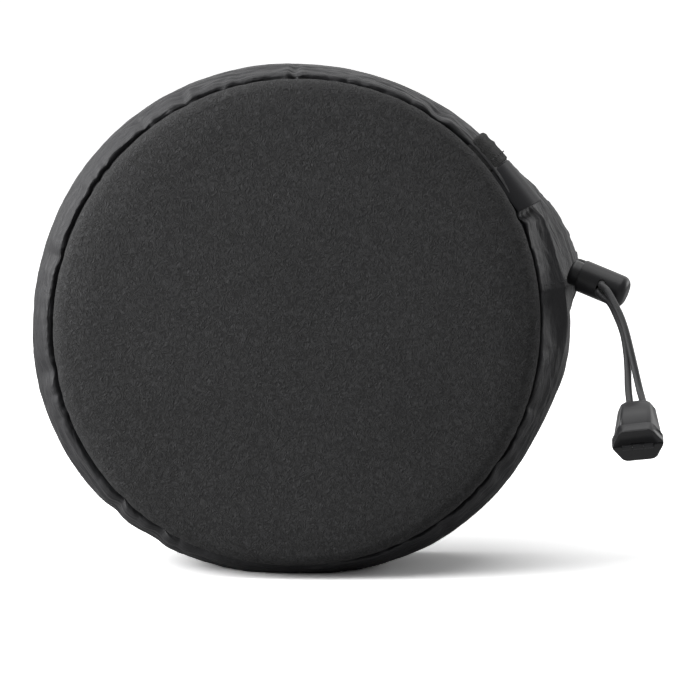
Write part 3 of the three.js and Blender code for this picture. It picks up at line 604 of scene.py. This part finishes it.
# the inner layers leave out the first and the last step, as in part.mjs
innerStart, innerEnd = 1 / form["wallSteps"], 1 - 1 / form["wallSteps"]
wallLayer("wall_padding", ["side_padding"], *wall["padding"], np.linspace(innerStart, innerEnd, 30),
          foamMat, "foam", fill=0.5)
wallLayer("wall_lining", ["side_lining"], *wall["lining"], np.linspace(innerStart, innerEnd, 60),
          liningCloth, "lining")


# hem: the gathered tunnel for the elastic

print("hem")

# mm, and the number of points round the tunnel; pushed is a share of the wall's own
hem = {"thickness": 0.8, "steps": 52, "pleat": 0.75, "pleatFine": 0.4, "crumple": 0.25, "deepest": 0.9,
       "pushed": 0.8, "middleRadius": 84}


def hemSheet():
    outer = np.linspace(mouthAngle, foldAngle, hem["steps"])
    around = np.concatenate([outer, outer[::-2]])
    outside, inside = form["tunnelRadius"], form["tunnelRadius"] - hem["thickness"]
    radius = np.concatenate([np.full(hem["steps"], outside), np.full(hem["steps"] // 2, inside)])
    # pleats fade where the tunnel is sewn to the wall and stay clear of the cord inside
    amount = 0.45 + 0.55 * np.clip(np.sin((around - mouthAngle) / (foldAngle - mouthAngle) * math.pi), 0, 1)
    wrinkle = (hem["pleat"] * hemPleats[:, None] + hem["pleatFine"] * hemPleatsFine[:, None]) * amount
    wrinkle = wrinkle + hem["crumple"] * perlin(angles[:, None] / 360 * 110, around * 1.3 + 5, 110, 77)
    radius = radius + np.maximum(wrinkle, -hem["deepest"]) + hem["pushed"] * pushed[:, None] * amount
    grid = laid(tunnelCentre + radius * np.cos(around), angles[:, None],
                tunnelDepth + radius * np.sin(around))
    lines = (roundLine * hem["middleRadius"], np.append(around, mouthAngle) * outside)
    return gridMesh("hem_cloth", grid, lines)


settle(addObject("hem_cloth", hemSheet(), wallCloth), "root", ["hem_tunnel"])


# face: the padded front panel

print("face")

front = {
    "radius": 83.75, "cloth": 0.5, "dome": 1.5, "domeRadius": 78, "domeDepth": 5,
    # the shoulder: an even slope and then a tight turn (mm)
    "shoulderWide": 14.6, "turnIn": 4.4, "slope": 2.4, "turnDepth": 4.7,
    # the front swells out over the seam, most at the right: least, more, its angle and spread
    "swell": (1.7, 1.5, 92, 42), "swellRadii": (68, 80),
    # slow waves in the middle (mm), and how much the seam's puckers and folds show on the edge
    "waves": (0.2, 0.1), "puckers": 0.14, "finePuckers": 0.02, "notch": 0.2, "notchedBy": 0.9,
    # the edge from the shoulder to the seam, and back inside: radius, depth
    "edge": [(83.7, 8.5), (83.5, 9.3), (83, 9.9), (81, 10.15), (79, 10.2)],
    "edgeInside": [(79.0, 9.35), (82.5, 9.3), (83.0, 8.5)],
    # the foam under the cloth, and its edge and back
    "foam": 1.0, "foamBack": [(82.75, 7.6), (82.3, 8.0), (0.02, 8.0)],
}
# the tape lies round three sides of the seam allowances: radius, depth
binding = [(76.7, 8.5), (82.3, 8.5), (82.3, 8.9), (77.2, 8.9), (77.2, 11.7), (82.3, 11.7), (82.3, 12.1),
           (76.7, 12.1)]


# the foam makes the front a little round
def domed(radius, depth):
    low = np.clip(1 - (radius / front["domeRadius"]) ** 2, 0, 1)
    return front["dome"] * low * (depth < front["domeDepth"])


# points of the shoulder some mm inside the cloth's outside
def shoulder(inside, steps):
    wide, turnIn = front["shoulderWide"], front["turnIn"]
    corner = np.radians(np.linspace(0, 90, steps // 2))[1:]
    run = np.concatenate([np.linspace(0, wide - turnIn, steps), wide - turnIn + turnIn * np.sin(corner)])
    turned = np.concatenate([np.zeros(steps), 1 - np.cos(corner)])
    depth = front["slope"] * (run / wide) ** 2 + front["turnDepth"] * turned
    return front["radius"] - wide + run * (wide - inside) / wide, depth + inside


def swollen(radius, angle):
    least, more, *where = front["swell"]
    return (least + more * nearness(angle, *where)) * smooth(radius, *front["swellRadii"])


def faceSheet():
    # rings of points, close together in the middle
    flat = np.concatenate([[0.02, 0.06, 0.2, 0.7, 1.6], np.linspace(3, 68, 54)])
    cloth, edgeOut, edgeIn = front["cloth"], np.array(front["edge"]), np.array(front["edgeInside"])
    bendR, bendD = shoulder(0, 40)
    outR = np.concatenate([flat, bendR, edgeOut[:, 0]])
    outD = np.concatenate([flat * 0, bendD, edgeOut[:, 1]])
    bendR, bendD = shoulder(cloth, 14)
    inR = np.concatenate([edgeIn[:, 0], bendR[::-1], [60, 0.02]])
    inD = np.concatenate([edgeIn[:, 1], bendD[::-1], [cloth, cloth]])
    radius, depth = np.concatenate([outR, inR]), np.concatenate([outD, inD])
    turn = np.radians(angles)[:, None]
    x, z = radius * np.sin(turn), radius * np.cos(turn)
    middle = (depth < front["domeDepth"]) * smooth(83 - radius, 0, 14)
    wide, narrow = front["waves"]
    waves = wide * np.sin(x / 19 + 1.1) * np.cos(z / 23 - 0.6) + narrow * np.sin(x / 11 - z / 14)
    edge = np.exp(-((front["radius"] - radius) / 2.2) ** 2) * smooth(depth, 1, 4) * (depth < 9.6)
    pull = front["puckers"] * seamPuckers * puckerStrength + front["finePuckers"] * seamPuckersFine
    deepFolds = [fold for fold in wall["folds"] if fold[2] > front["notchedBy"]]
    notch = sum(front["notch"] * deep * nearness(angles, at, width) for at, width, deep in deepFolds)
    outer = radius + pull[:, None] * edge - notch[:, None] * edge + swollen(radius, angles[:, None])
    return laid(outer, angles[:, None], depth + waves * middle - domed(radius, depth))


def faceFilling():
    under, back = front["foam"], np.array(front["foamBack"])
    bendR, bendD = shoulder(under, 14)
    radius = np.concatenate([[0.02, 30, 60], bendR, back[:, 0]])
    depth = np.concatenate([[under, under, under], bendD, back[:, 1]])
    outer = radius + swollen(radius, angles[::4, None])
    return laid(outer, angles[::4, None], depth - domed(radius, depth))


def bindingSheet():
    radius, depth = np.array(binding).T
    return laid(radius, angles[::3, None], depth)


face = addObject("face_cloth", gridMesh("face_cloth", faceSheet()), faceCloth)
settle(face, "root", ["face_fabric"])
filling = addObject("face_filling", gridMesh("face_filling", faceFilling()), foamMat)
settle(filling, "root", ["face_foam"])
tape = addObject("seam_tape", gridMesh("seam_tape", bindingSheet()), tapeCloth)
settle(tape, "root", ["seam_binding"])


# strap end and label on the side wall

print("strap and label")

# mm and degrees; ribs are the threads that stand up across a patch, with their heights
patch = {"front": 10.8, "width": 18.0, "gap": 0.3, "rows": 90, "columns": 40,
         "thinEdge": 0.6, "thinEnd": 0.6, "ribWidth": 0.4, "endWidth": 0.12,
         "middleRadius": 90, "wallLength": 45}
strapEnd = {"thickness": 1.1, "start": 44.0, "end": 52.0, "lift": 0, "ribs": [(45.0, 0.4), (47.3, 0.45)]}
label = {"thickness": 0.9, "start": 52.2, "end": 63.5, "lift": 2.0, "ribs": []}


# a flat band that follows the wall from start to end and may lift off it towards its end
def strapPatch(name, node, spec, material):
    start, end, columns = spec["start"], spec["end"], patch["columns"]
    edges = np.array([patch["front"], patch["front"] + patch["width"]])
    share = np.linspace(*(edges - form["wallFront"]) / (wallBack - form["wallFront"]), columns)
    at = np.linspace(start, end, patch["rows"])[:, None]
    low, depth = wallSheet(-patch["gap"], share)
    outer, _ = wallSheet(-patch["gap"] - spec["thickness"], share)
    # the woven edges are a little thinner than the middle
    full = 1 - np.abs(np.linspace(-1, 1, columns)) ** 8 * patch["thinEdge"]
    raised = spec["lift"] * ((at - start) / (end - start)) ** 2
    rib = sum((high * bump(at, r, patch["ribWidth"]) for r, high in spec["ribs"]), np.zeros_like(at))
    ends = 1 - patch["thinEnd"] * (bump(at, start, patch["endWidth"]) + bump(at, end, patch["endWidth"]))
    top = low + (outer - low) * full * ends + raised + rib * full
    grid = np.concatenate([laid(top, at, depth), laid(low + raised, at, depth)[:, ::-1]], 1)
    across = np.concatenate([share, share[::-1], share[:1]]) * patch["wallLength"]
    lines = (np.radians(at[:, 0]) * patch["middleRadius"], across)
    obj = addObject(name, gridMesh(name, grid, lines, closedRound=False, capped=True), material)
    return settle(obj, "root", [node])


strapPatch("strap_end", "strap_anchor", strapEnd, webbing)
strapPatch("label", "label_tab", label, labelCloth)


# stitches: short thread loops, all in one mesh

print("stitches")

# rings of a thread: place along it and radius, as shares of its length and thickness
stitch = {"rings": [(-0.5, 0.25), (-0.42, 0.8), (-0.2, 1), (0.2, 1), (0.42, 0.8), (0.5, 0.25)], "sides": 6,
          "thickness": 0.22, "length": 2.6, "lift": 0.1}
stitchVerts, stitchFaces = [], []


# one stitch, sunk into the cloth at both ends
def addStitch(middle, along, out, length):
    side = unit(np.cross(along, out))
    base, sides, thickness = len(stitchVerts), stitch["sides"], stitch["thickness"]
    for reach, width in stitch["rings"]:
        for k in range(sides):
            turn = 2 * math.pi * k / sides
            around = (out * math.sin(turn) + side * math.cos(turn)) * thickness * width
            stitchVerts.append(middle + along * reach * length + around - out * abs(reach) * thickness)
    for r in range(len(stitch["rings"]) - 1):
        for k in range(sides):
            a, b = base + r * sides + k, base + r * sides + (k + 1) % sides
            stitchFaces.append((a, b, b + sides, a + sides))
    last = base + (len(stitch["rings"]) - 1) * sides
    stitchFaces.append(tuple(base + k for k in range(sides))[::-1])
    stitchFaces.append(tuple(last + k for k in range(sides)))


# a row of stitches; spots are pairs of angle and share, across says that they point across the wall
def stitchRow(spots, across=False, lift=stitch["lift"], length=stitch["length"]):
    for angle, share in spots:
        k = int(round(angle / 360 * turns)) % turns
        pair = np.array([share, min(share + 0.01, 1)])
        wrinkle = wallWrinkle(pair)[k] + lift
        normalR, normalD = outwards(pair)
        radius, depth = wallPoint(pair)
        radius, depth = radius + wrinkle * normalR, depth + wrinkle * normalD
        here, behind = laid(radius, angle, depth)
        beside = laid(radius[0], angle + 0.5, depth[0])
        acrossWay, roundWay = unit(behind - here), unit(beside - here)
        out = unit(np.cross(roundWay, acrossWay))
        if out @ (here - form["centre"]) < 0:
            out = -out
        addStitch(here, acrossWay if across else roundWay, out, length)


# the hem, the join, the strap's end, and the seam at the bottom
stitchRow([(a, 0.93) for a in np.arange(150) * 2.4])
stitchRow([(form["join"] - 1.6, s) for s in np.linspace(0.06, 0.9, 14)], across=True, length=2.4)
stitchRow([(50.2, s) for s in np.linspace(0.07, 0.5, 9)], across=True, lift=2.0, length=1.8)
stitchRow([(a, 0.012) for a in np.arange(168, 206, 2.0)], lift=0.2, length=1.9)
stitchMesh = bpy.data.meshes.new("stitches")
stitchMesh.from_pydata((np.array(stitchVerts) * mm).tolist(), [], stitchFaces)
stitches = addObject("stitches", stitchMesh, threadMat)
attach(stitches, "root")

# the CAD pieces that show as they are, or don't show
plainPieces = {"face_stiffener": boardMat, "face_lining": liningCloth, "hem_cord": threadMat,
               "cord_end_pin": steel, "cord_knot": threadMat}
for node, material in plainPieces.items():
    paint(node, material)


# where the cord lock and the cord end hang, the same numbers as in part.mjs

cordRadius = 1.25
slotWidth = 3.1
slotCorner = 1.4
lock = {
    "fromHem": (3.6, -22.4, -5.4), "axis": (0.905, -0.22, -0.345), "aim": (0, -1, -0.15),
    "length": 17.6, "radius": 5.75, "wall": 1.05, "endWall": 0.9,
    "round": 3.0, "rimRound": 0.4, "boreRound": 1.2, "boreBreak": 0.15,
    "clearance": 0.25, "start": 5.4, "stroke": 3.0, "button": 4.0, "buttonRound": 1.5,
    # the strands lie this far apart and from the closed end, and stay straight this far before the lock
    "spacing": 2.7, "strands": 8.6, "strandPlay": 0.3, "straight": 2.5,
    "cutReach": 12,  # of the shape that cuts their slot, from the axis
}
end = {
    "fromLock": (19.08, -38, -40.41), "up": (-0.01, 0.825, 0.565), "across": (0.99, -0.07, 0.12),
    # six-sided sections: width, edge, depth and corner
    "foot": (18.4, 11, 14.45, 1.8), "shoulder": (13.6, 9.5, 9, 1), "mouth": (9.2, 7.4, 5.6, 1),
    "length": 19.15, "footRound": 0.5, "rim": 3.5, "step": 0.5, "shoulderHeight": 16.6, "parting": 0.15,
    # the room for the knot, and the channel for the strands: sizes in plan and heights
    "pocket": (9.6, 6.6, 1.6), "pocketHeights": (2, 12.4), "channelHeights": (10.8, 20.15),
    "channelPlay": 0.6, "spacing": 4.6, "strandDepth": 7.2,
    # knuckles and pin of the hinge
    "knuckle": 1.05, "play": 0.2, "middle": 3.6, "outer": 3.3, "pin": 0.35, "drop": 0.35,
    "boreLength": 40,  # past both sides
}


# axes and origin of a hanging piece: y or z is its own axis
def hanging(origin, x, y, z):
    place = Matrix.Identity(4)
    for k, column in enumerate((x, y, z)):
        place.col[k][:3] = column
    place.col[3][:3] = origin * mm
    return place


lockRim = laid(form["hemRadius"], form["pull"]["middle"], tunnelDepth) + lock["fromHem"]
lockY = -unit(lock["axis"])
lockZ = unit(lock["aim"] - lockY * np.dot(lock["aim"], lockY))
lockX = np.cross(lockY, lockZ)
lockFoot = lockRim - lockY * lock["length"]
lockPlace = hanging(lockFoot, lockX, lockY, lockZ)
endZ = unit(end["up"])
endX = unit(end["across"] - endZ * np.dot(end["across"], endZ))
endY = np.cross(endZ, endX)
endFoot = lockRim + end["fromLock"] - endZ * end["length"]
endPlace = hanging(endFoot, endX, endY, endZ)


# where a strand passes through the lock, and into the cord end
def lockStrand(side, reach):
    return lockFoot + lockX * side * lock["spacing"] / 2 + lockY * lock["strands"] + lockZ * reach


def endStrand(side, height):
    return endFoot + endX * side * end["spacing"] / 2 + endZ * height


# moulded pieces: finer solids than the CAD's, cut the same way, with rounded edges

print("cord lock and cord end")


# a closed mesh with its faces outwards
def solidMesh(name, verts, faces):
    mesh = bpy.data.meshes.new(name)
    mesh.from_pydata((np.array(verts, float) * mm).tolist(), [], faces)
    body = bmesh.new()
    body.from_mesh(mesh)
    bmesh.ops.recalc_face_normals(body, faces=body.faces)
    body.to_mesh(mesh)
    body.free()
    return mesh


# turns a profile (radius, height) that starts and ends on the axis about +Y
def lathe(name, profile, steps=96):
    profile = np.array(profile, float)
    turn = np.arange(steps) * 2 * np.pi / steps
    verts = [(0, profile[0][1], 0), (0, profile[-1][1], 0)]
    for radius, height in profile[1:-1]:
        verts += [(radius * math.cos(t), height, radius * math.sin(t)) for t in turn]
    faces = []
    count = len(profile) - 2
    for k in range(steps):
        n = (k + 1) % steps
        faces.append((0, 2 + k, 2 + n))
        faces.append((1, 2 + (count - 1) * steps + n, 2 + (count - 1) * steps + k))
        for r in range(count - 1):
            a, b = 2 + r * steps, 2 + (r + 1) * steps
            faces.append((a + k, b + k, b + n, a + n))
    return solidMesh(name, verts, faces)


# stacks outlines (x, y) at their heights along +Z
def stack(name, outlines, heights):
    count = len(outlines[0])
    verts = [(x, y, h) for outline, h in zip(outlines, heights) for x, y in outline]
    faces = [tuple(range(count)), tuple((len(heights) - 1) * count + k for k in range(count))[::-1]]
    for r in range(len(heights) - 1):
        for k in range(count):
            n = (k + 1) % count
            faces.append((r * count + k, (r + 1) * count + k, (r + 1) * count + n, r * count + n))
    return solidMesh(name, verts, faces)


def arcPoints(x, y, radius, start, stop, steps):
    turn = np.radians(np.linspace(start, stop, steps))
    return [(x + radius * math.cos(t), y + radius * math.sin(t)) for t in turn]


def roundedSection(width, depth, corner):
    x, y = width / 2 - corner, depth / 2 - corner
    quarters = enumerate([(x, y), (-x, y), (-x, -y), (x, -y)])
    return [p for k, (cx, cy) in quarters for p in arcPoints(cx, cy, corner, 90 * k, 90 * k + 90, 7)]


def sixSided(width, edge, depth, corner):
    half = [(width, 0), (edge, depth), (-edge, depth)]
    tips = np.array(half + [(-x, -y) for x, y in half]) / 2
    points, steps = [], np.linspace(0, 1, 6)
    for k, tip in enumerate(tips):
        before = tip + unit(tips[k - 1] - tip) * corner
        after = tip + unit(tips[(k + 1) % 6] - tip) * corner
        points += [(1 - t) ** 2 * before + 2 * t * (1 - t) * tip + t * t * after for t in steps]
    return points


# a round bar on the hinge's axis
def bar(name, radius, length, x):
    outline = [(radius * math.cos(t), radius * math.sin(t)) for t in np.arange(32) * math.pi / 16]
    mesh = stack(name, [outline, outline], [-length / 2, length / 2])
    lying = Matrix.Rotation(math.pi / 2, 4, "Y")
    mesh.transform(Matrix.Translation((x * mm, 0, -end["drop"] * mm)) @ lying)
    return mesh


mouldedEdge = {"round": 0.22, "steps": 3, "sharperThan": 21}  # mm and degrees


# cuts or joins the other meshes in turn, rounds the sharp edges and puts the piece in place
def moulded(name, base, others, place, body, nodes):
    obj = addObject(name, base, lockPlastic)
    tools = []
    for k, (operation, mesh) in enumerate(others):
        tool = bpy.data.objects.new(f"tool_{k}", mesh)
        bpy.context.scene.collection.objects.link(tool)
        cut = obj.modifiers.new("cut", "BOOLEAN")
        cut.operation, cut.solver, cut.object = operation, "EXACT", tool
        tools.append(tool)
    bevel = obj.modifiers.new("round", "BEVEL")
    bevel.width, bevel.segments = mouldedEdge["round"] * mm, mouldedEdge["steps"]
    bevel.limit_method, bevel.angle_limit = "ANGLE", math.radians(mouldedEdge["sharperThan"])
    obj.modifiers.new("normals", "WEIGHTED_NORMAL")
    bpy.context.view_layer.update()
    shaped = bpy.data.meshes.new_from_object(obj.evaluated_get(bpy.context.evaluated_depsgraph_get()))
    obj.modifiers.clear()
    obj.data = shaped
    for tool in tools:
        bpy.data.objects.remove(tool)
    shaped.transform(place)
    return settle(obj, body, nodes)


# the slot for both strands, longer where the button has to move
def strandHole(extra):
    reach = 2 * (lock["spacing"] / 2 + cordRadius + lock["strandPlay"])
    outline = roundedSection(reach, slotWidth + extra, slotCorner)
    mesh = stack("slot", [outline, outline], [-lock["cutReach"], lock["cutReach"]])
    mesh.transform(Matrix.Translation((0, (lock["strands"] + extra / 2) * mm, 0)))
    return mesh


radius, bore = lock["radius"], lock["radius"] - lock["wall"]
rim = lock["rimRound"]
barrelProfile = [(0, 0)] + arcPoints(radius - lock["round"], lock["round"], lock["round"], -90, 0, 12)
barrelProfile += arcPoints(radius - rim, lock["length"] - rim, rim, 0, 90, 5)
barrelProfile += [(bore + lock["boreBreak"], lock["length"]), (bore, lock["length"] - lock["boreBreak"])]
barrelProfile += [(bore, lock["endWall"] + lock["boreRound"]), (bore - lock["boreRound"], lock["endWall"])]
barrelProfile += [(0, lock["endWall"])]
moulded("lock_body", lathe("lock_body", barrelProfile), [("DIFFERENCE", strandHole(0))],
        lockPlace, "lock", ["lock_barrel"])

inside = bore - lock["clearance"]
top = lock["length"] + lock["button"]
buttonRound = lock["buttonRound"]
plungerProfile = [(0, lock["start"]), (inside, lock["start"])]
plungerProfile += arcPoints(inside - buttonRound, top - buttonRound, buttonRound, 0, 90, 8)
plungerProfile += [(0, top)]
moulded("lock_button", lathe("lock_button", plungerProfile), [("DIFFERENCE", strandHole(lock["stroke"]))],
        lockPlace, "plunger", ["lock_plunger"])


# the whole cord end: a rounded foot, a rim with a step, then narrower to the mouth
def endShell():
    def foot(inset):
        width, edge, depth, corner = end["foot"]
        return width - 2 * inset, edge - inset, depth - 2 * inset, corner
    sections = []
    for t in np.radians(np.linspace(0, 90, 5)):
        r = end["footRound"]
        sections.append((r * (1 - math.cos(t)), foot(r * (1 - math.sin(t)))))
    sections += [(end["rim"], foot(0)), (end["rim"] + end["step"] / 2, foot(end["step"]))]
    sections += [(end["shoulderHeight"], end["shoulder"]), (end["length"], end["mouth"])]
    return stack("shell", [sixSided(*dims) for _, dims in sections], [h for h, _ in sections])


# one half of it, with its own knuckles and room for the other half's
def endHalf(name, node, side, body, own, other):
    size = 3 * end["length"]  # of a block that takes in the whole half
    keep = [(-size, 0), (size, 0), (size, side * size), (-size, side * size)]
    keep = [(x, y + side * end["parting"]) for x, y in keep]
    pocket = roundedSection(*end["pocket"])
    channel = roundedSection(end["spacing"] + 2 * cordRadius + end["channelPlay"], slotWidth, slotCorner)
    cuts = [
        ("INTERSECT", stack("keep", [keep, keep], [-size, size])),
        ("DIFFERENCE", stack("pocket", [pocket, pocket], end["pocketHeights"])),
        ("DIFFERENCE", stack("channel", [channel, channel], end["channelHeights"])),
    ]
    play, knuckle = end["play"], end["knuckle"]
    cuts += [("DIFFERENCE", bar("room", knuckle + play, long + 2 * play, x)) for x, long in other]
    cuts += [("UNION", bar("knuckle", knuckle, long, x)) for x, long in own]
    cuts += [("DIFFERENCE", bar("bore", end["pin"] + play, end["boreLength"], 0))]
    return moulded(name, endShell(), cuts, endPlace, body, [node])


outerX = (end["middle"] + end["outer"]) / 2 + end["play"]
middleKnuckles = [(0, end["middle"])]
outerKnuckles = [(-outerX, end["outer"]), (outerX, end["outer"])]
endHalf("cord_end_lower_shell", "cord_end_back", 1, "lock", middleKnuckles, outerKnuckles)
endHalf("cord_end_upper_shell", "cord_end_front", -1, "lid", outerKnuckles, middleKnuckles)


# elastic strands: out of the hem, through the lock and down into the cord end

print("strands")

# listed points, in mm from the lock's rim; exit is the angle at which a strand leaves the hem
routes = {
    "upper": {
        "side": 1, "exit": 78.0,
        "lead": [(0.8, 21.7, 1.6), (4.6, 19.4, -0.6), (7.8, 14.6, -2), (9.4, 11.6, -2)],
        "tail": [(7.2, -9.4, -2.4), (8.9, -12, -3.6), (11.1, -15.4, -7), (13.7, -19, -11.8),
                 (15.4, -22, -16.4), (16.9, -25, -22), (18.7, -28.5, -29.2), (20.2, -32.2, -35.4)],
    },
    "lower": {
        "side": -1, "exit": 88.5,
        "lead": [(-5.2, 18.9, -14.2), (-3.3, 17, -9.8), (-1.8, 15, -6.2), (1.5, 12.8, -4.4),
                 (6.2, 10.8, -4)],
        "tail": [(6.1, -9, -5), (7.6, -10.8, -6.3), (9.9, -12.4, -7.8), (12.9, -16.4, -13.2),
                 (14.8, -19.5, -18.2), (15.8, -23, -23.9), (16.2, -26.5, -29.4), (16.3, -30.8, -34.6)],
    },
}


# a smooth line through the points, cut into even steps
def smoothPath(points, step=0.4, perPiece=24):
    p = np.array(points, float)
    p = np.concatenate([[2 * p[0] - p[1]], p, [2 * p[-1] - p[-2]]])
    pieces = []
    for k in range(1, len(p) - 2):
        knots = [0.0]
        for i in range(3):
            knots.append(knots[-1] + np.linalg.norm(p[k + i] - p[k - 1 + i]) ** 0.5)
        t = np.linspace(knots[1], knots[2], perPiece, endpoint=False)[:, None]

        def between(a, b, i, j):
            return ((knots[j] - t) * a + (t - knots[i]) * b) / (knots[j] - knots[i])
        a = [between(p[k - 1 + i], p[k + i], i, i + 1) for i in range(3)]
        b = [between(a[0], a[1], 0, 2), between(a[1], a[2], 1, 3)]
        pieces.append(between(b[0], b[1], 1, 2))
    line = np.concatenate(pieces + [p[-2:-1]])
    along = np.concatenate([[0], np.cumsum(np.linalg.norm(np.diff(line, axis=0), axis=1))])
    even = np.linspace(0, along[-1], int(along[-1] / step))
    return np.stack([np.interp(even, along, line[:, k]) for k in range(3)], -1), along[-1]


# a round tube along the points, which doesn't twist
def tubeMesh(name, points, radius, sides):
    tangent = np.gradient(points, axis=0)
    tangent /= np.linalg.norm(tangent, axis=1, keepdims=True)
    side = unit(np.cross(tangent[0], (0.3, 0.2, 1)))
    turn = (np.arange(sides) * 2 * np.pi / sides)[:, None]
    rings = []
    for p, t in zip(points, tangent):
        side = unit(side - t * (side @ t))
        rings.append(p + radius * (np.cos(turn) * side + np.sin(turn) * np.cross(t, side)))
    run = np.concatenate([[0], np.cumsum(np.linalg.norm(np.diff(points, axis=0), axis=1))])
    lines = (run, np.arange(sides + 1) * 2 * np.pi / sides * radius)
    return gridMesh(name, np.array(rings), lines, closedRound=False, capped=True)


# the spring inside the lock, which the button presses together
spring = {"wire": 0.4, "turns": 2.5, "radius": 2.9, "gap": 0.3, "steps": 80}
low = lock["endWall"] + spring["gap"] + spring["wire"] / 2
high = lock["start"] - spring["gap"] - spring["wire"] / 2
turned = np.linspace(0, 2 * np.pi * spring["turns"], spring["steps"])[:, None]
coil = lockFoot + lockY * np.linspace(low, high, spring["steps"])[:, None]
coil = coil + spring["radius"] * (np.cos(turned) * lockX + np.sin(turned) * lockZ)
springCoil = addObject("spring_coil", tubeMesh("spring_coil", coil, spring["wire"] / 2, 10), steel)
settle(springCoil, "lock", ["lock_spring"])
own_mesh(springCoil)


# one end of the elastic: its lead and tail as one tube, in place of both CAD pieces
def strand(which, spec):
    side, out = spec["side"], lock["radius"]
    start = laid(form["hemRadius"] + 0.3, spec["exit"], tunnelDepth)
    inLock = lockStrand(side, -out)
    points = [laid(tunnelCentre, spec["exit"], tunnelDepth), start]
    points += [np.array(p) + lockRim for p in spec["lead"]]
    points += [lockStrand(side, -out - lock["straight"]), inLock, lockStrand(side, out)]
    points += [np.array(p) + lockRim for p in spec["tail"]]
    points += [endStrand(side, end["length"] + reach) for reach in (cordRadius, -end["strandDepth"])]
    path, length = smoothPath(points)
    obj = addObject("elastic_" + which, tubeMesh("elastic_" + which, path, cordRadius, 20), elastic)
    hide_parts("cord_lead_" + which, "cord_tail_" + which)
    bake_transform(obj)
    print(which, "strand", round(length, 1), "mm")


strand("upper", routes["upper"])
strand("lower", routes["lower"])


# table, light and camera

print("stage")

studio = {
    # brightness of the table and the backdrop: as they light the cover, and as the camera sees them
    "table": (0.4, 1.9), "backdrop": (0.22, 1.02), "tableSize": 30,
    # the backdrop also shows in shiny pieces, fading in towards the back
    "mirroredFrom": 0.6,
    "sun": {"towards": (0.0, 0.05, -1.0), "power": 1.15, "angle": 60},
    # a large box at the left, above the cover and a little before it, and a weak one at the right behind it
    "left": {"place": (-0.68, -0.20, 0.43), "aimed": (0, -0.04, 0.09), "size": 0.7, "power": 8.0},
    "right": {"place": (0.60, 0.25, 0.18), "aimed": (0.06, -0.02, 0.09), "size": 0.3, "power": 0.55},
}


# 1 where the camera sees a surface itself, also through clear pieces
def seenByCamera(tree):
    ray = addNode(tree, "ShaderNodeLightPath")
    seen = addNode(tree, "ShaderNodeMath", {"operation": "MAXIMUM"},
                   {0: ray.outputs["Is Camera Ray"], 1: ray.outputs["Is Transmission Ray"]})
    return ray, seen.outputs["Value"]


def makeTable():
    bpy.ops.mesh.primitive_plane_add(size=studio["tableSize"])
    table = bpy.context.object
    table.name = "table"
    material, tree, shader = newMaterial("white_table")
    lit, shown = studio["table"]
    _, seen = seenByCamera(tree)
    tone = addNode(tree, "ShaderNodeMapRange", {"To Min": lit, "To Max": shown}, {"Value": seen})
    matte = addNode(tree, "ShaderNodeBsdfDiffuse", links={"Color": tone.outputs["Result"]})
    tree.links.new(matte.outputs["BSDF"], tree.nodes["Material Output"].inputs["Surface"])
    tree.nodes.remove(shader)
    table.data.materials.append(material)
    return table


def makeBackdrop():
    world = bpy.data.worlds.new("studio")
    bpy.context.scene.world = world
    world.use_nodes = True
    tree = world.node_tree
    ray, seen = seenByCamera(tree)
    towards = addNode(tree, "ShaderNodeTexCoord")
    direction = addNode(tree, "ShaderNodeSeparateXYZ", links={"Vector": towards.outputs["Generated"]})
    behind = addNode(tree, "ShaderNodeMapRange", {"From Min": 0, "From Max": studio["mirroredFrom"]},
                     {"Value": direction.outputs["Y"]})
    mirrored = addNode(tree, "ShaderNodeMath", {"operation": "MULTIPLY"},
                       {0: behind.outputs["Result"], 1: ray.outputs["Is Glossy Ray"]})
    white = addNode(tree, "ShaderNodeMath", {"operation": "MAXIMUM"},
                    {0: seen, 1: mirrored.outputs["Value"]})
    lit, shown = studio["backdrop"]
    strength = addNode(tree, "ShaderNodeMapRange", {"To Min": lit, "To Max": shown},
                       {"Value": white.outputs["Value"]})
    background = tree.nodes["Background"]
    background.inputs["Color"].default_value = (1, 1, 1, 1)
    tree.links.new(strength.outputs["Result"], background.inputs["Strength"])


def addLamp(name, kind, power, direction, place=(0, 0, 0), **settings):
    light = bpy.data.lights.new(name, kind)
    light.energy = power
    for key, value in settings.items():
        setattr(light, key, value)
    obj = bpy.data.objects.new(name, light)
    bpy.context.scene.collection.objects.link(obj)
    obj.location = place
    obj.rotation_euler = Vector(direction).to_track_quat("-Z", "Y").to_euler()


def softBox(name, place, aimed, size, power):
    addLamp(name, "AREA", power, Vector(aimed) - Vector(place), place, shape="DISK", size=size)


makeTable()
makeBackdrop()
sun = studio["sun"]
addLamp("top", "SUN", sun["power"], sun["towards"], angle=math.radians(sun["angle"]))
softBox("left", **studio["left"])
softBox("right", **studio["right"])

# metres, and mm for the sensor and the lens
view = {"place": (0.083512, -1.411955, 0.284342), "aim": (0.017877, -0.028516, 0.079926),
        "sensor": 36, "lens": 208.8, "farthest": 40}
cameraData = bpy.data.cameras.new("camera")
cameraData.sensor_width = view["sensor"]
cameraData.lens = view["lens"]
cameraData.clip_end = view["farthest"]
camera = bpy.data.objects.new("camera", cameraData)
bpy.context.scene.collection.objects.link(camera)
camera.location = view["place"]
camera.rotation_euler = (Vector(view["aim"]) - camera.location).to_track_quat("-Z", "Y").to_euler()
bpy.context.scene.camera = camera
bpy.context.scene.view_settings.view_transform = "Standard"
